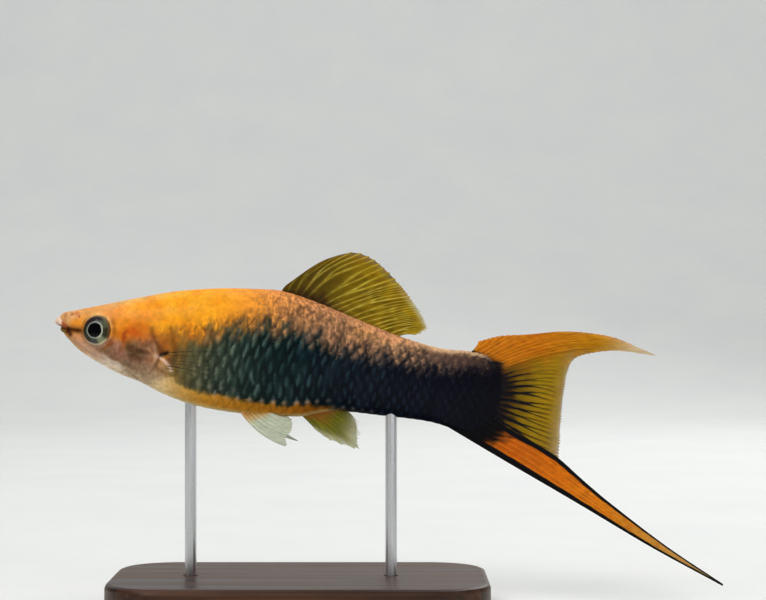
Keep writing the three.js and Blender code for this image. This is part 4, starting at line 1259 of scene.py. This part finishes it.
def make_stage():
    """A pale floor that curves up into a backdrop."""
    front, foot, radius, top, half = -4, 0.55, 0.5, 2.4, 4
    turn = np.linspace(0, math.pi / 2, 25)
    bend = zip(foot + radius * np.sin(turn), radius * (1 - np.cos(turn)))
    profile = [(front, 0), *bend, (foot + radius, top)]
    points = [(x, y, z) for y, z in profile for x in (-half, half)]
    faces = [(2 * i, 2 * i + 1, 2 * i + 3, 2 * i + 2) for i in range(len(profile) - 1)]
    mesh = bpy.data.meshes.new("studio_sweep")
    mesh.from_pydata(points, [], faces)
    mesh.polygons.foreach_set("use_smooth", [True] * len(faces))
    mesh.materials.append(paper_material())
    sweep = bpy.data.objects.new("studio_sweep", mesh)
    bpy.context.scene.collection.objects.link(sweep)
    sweep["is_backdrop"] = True


def add_light(name, place, target, size, power, colour=(1, 1, 1)):
    lamp = bpy.data.lights.new(name, "AREA")
    lamp.shape = "RECTANGLE"
    lamp.size, lamp.size_y = size
    lamp.energy = power
    lamp.color = colour
    light = bpy.data.objects.new(name, lamp)
    light.location = place
    way = np.array(target) - np.array(place)
    flat = math.hypot(way[0], way[1])
    light.rotation_euler = (math.atan2(flat, -way[2]), 0, math.atan2(-way[0], way[1]) if flat > 1e-6 else 0)
    bpy.context.scene.collection.objects.link(light)


def make_lights():
    middle = (0.01, 0, 0.05)
    add_light("key", (-0.3, -0.45, 0.6), middle, (0.45, 0.35), 3.25, (1, 0.985, 0.96))
    add_light("fill", (0.55, -0.45, 0.2), middle, (0.5, 0.5), 0.9, (0.96, 0.98, 1))
    add_light("over", (0.05, 0.05, 0.7), middle, (0.6, 0.35), 1.3)
    add_light("behind", (0.3, 0.45, 0.35), middle, (0.5, 0.3), 1.0)
    add_light("backdrop", (0, 0.45, 1.1), (0, 1.05, 0.35), (1.6, 0.4), 4)
    world = bpy.data.worlds.new("studio")
    world.use_nodes = True
    sky = world.node_tree.nodes["Background"]
    sky.inputs["Color"].default_value = (0.93, 0.95, 1, 1)
    sky.inputs["Strength"].default_value = 0.26
    bpy.context.scene.world = world


def make_camera():
    lens = bpy.data.cameras.new("camera")
    lens.lens = CAMERA["lens"]
    lens.sensor_width = CAMERA["sensor"]
    lens.clip_start = 0.01
    camera = bpy.data.objects.new("camera", lens)
    camera.location = [CAMERA[k] / 1000 for k in "xyz"]
    camera.rotation_euler = (math.pi / 2, 0, 0)
    bpy.context.scene.collection.objects.link(camera)
    bpy.context.scene.camera = camera


# The model

make_skin(skin_material())
gloss = eye_material()
make_eye("eye_left", LEFT, gloss)
make_eye("eye_right", RIGHT, gloss)

solid_fin = fin_material("fin_rayed", 0.25)
clear_fin = fin_material("fin_clear", 0.15)
fins = [
    ("dorsal_fin_rays", dorsal_fin(), solid_fin, "fin", ["dorsal_fin"]),
    ("tail_fin_rays", tail_fin(), solid_fin, "fin", ["tail_fin_upper_lobe", "tail_fin_fan"]),
    ("tail_sword_rays", sword(), solid_fin, "sword", ["tail_fin_sword"]),
    ("anal_fin_rays", anal_fin(), solid_fin, "fin", ["anal_fin"]),
]
for word, side in (("left", LEFT), ("right", RIGHT)):
    for kind, sheet in (("pelvic", pelvic_fin(side)), ("pectoral", pectoral_fin(side))):
        fins.append((f"{kind}_fin_rays_{word}", sheet, clear_fin, "clear_fin", [f"{kind}_fin_{word}"]))
for name, sheet, material, slot, solids in fins:
    piece = sheet.build(name, material)
    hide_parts(*solids)

dress(wood_material(), "stand_wood", "stand_base")
dress(steel_material(), "stand_steel", "stand_rod_front", "stand_rod_rear")
make_stage()
make_lights()
make_camera()
bpy.context.scene.view_settings.view_transform = "Standard"

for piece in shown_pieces():
    if piece.parent is None:
        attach(piece, "root")
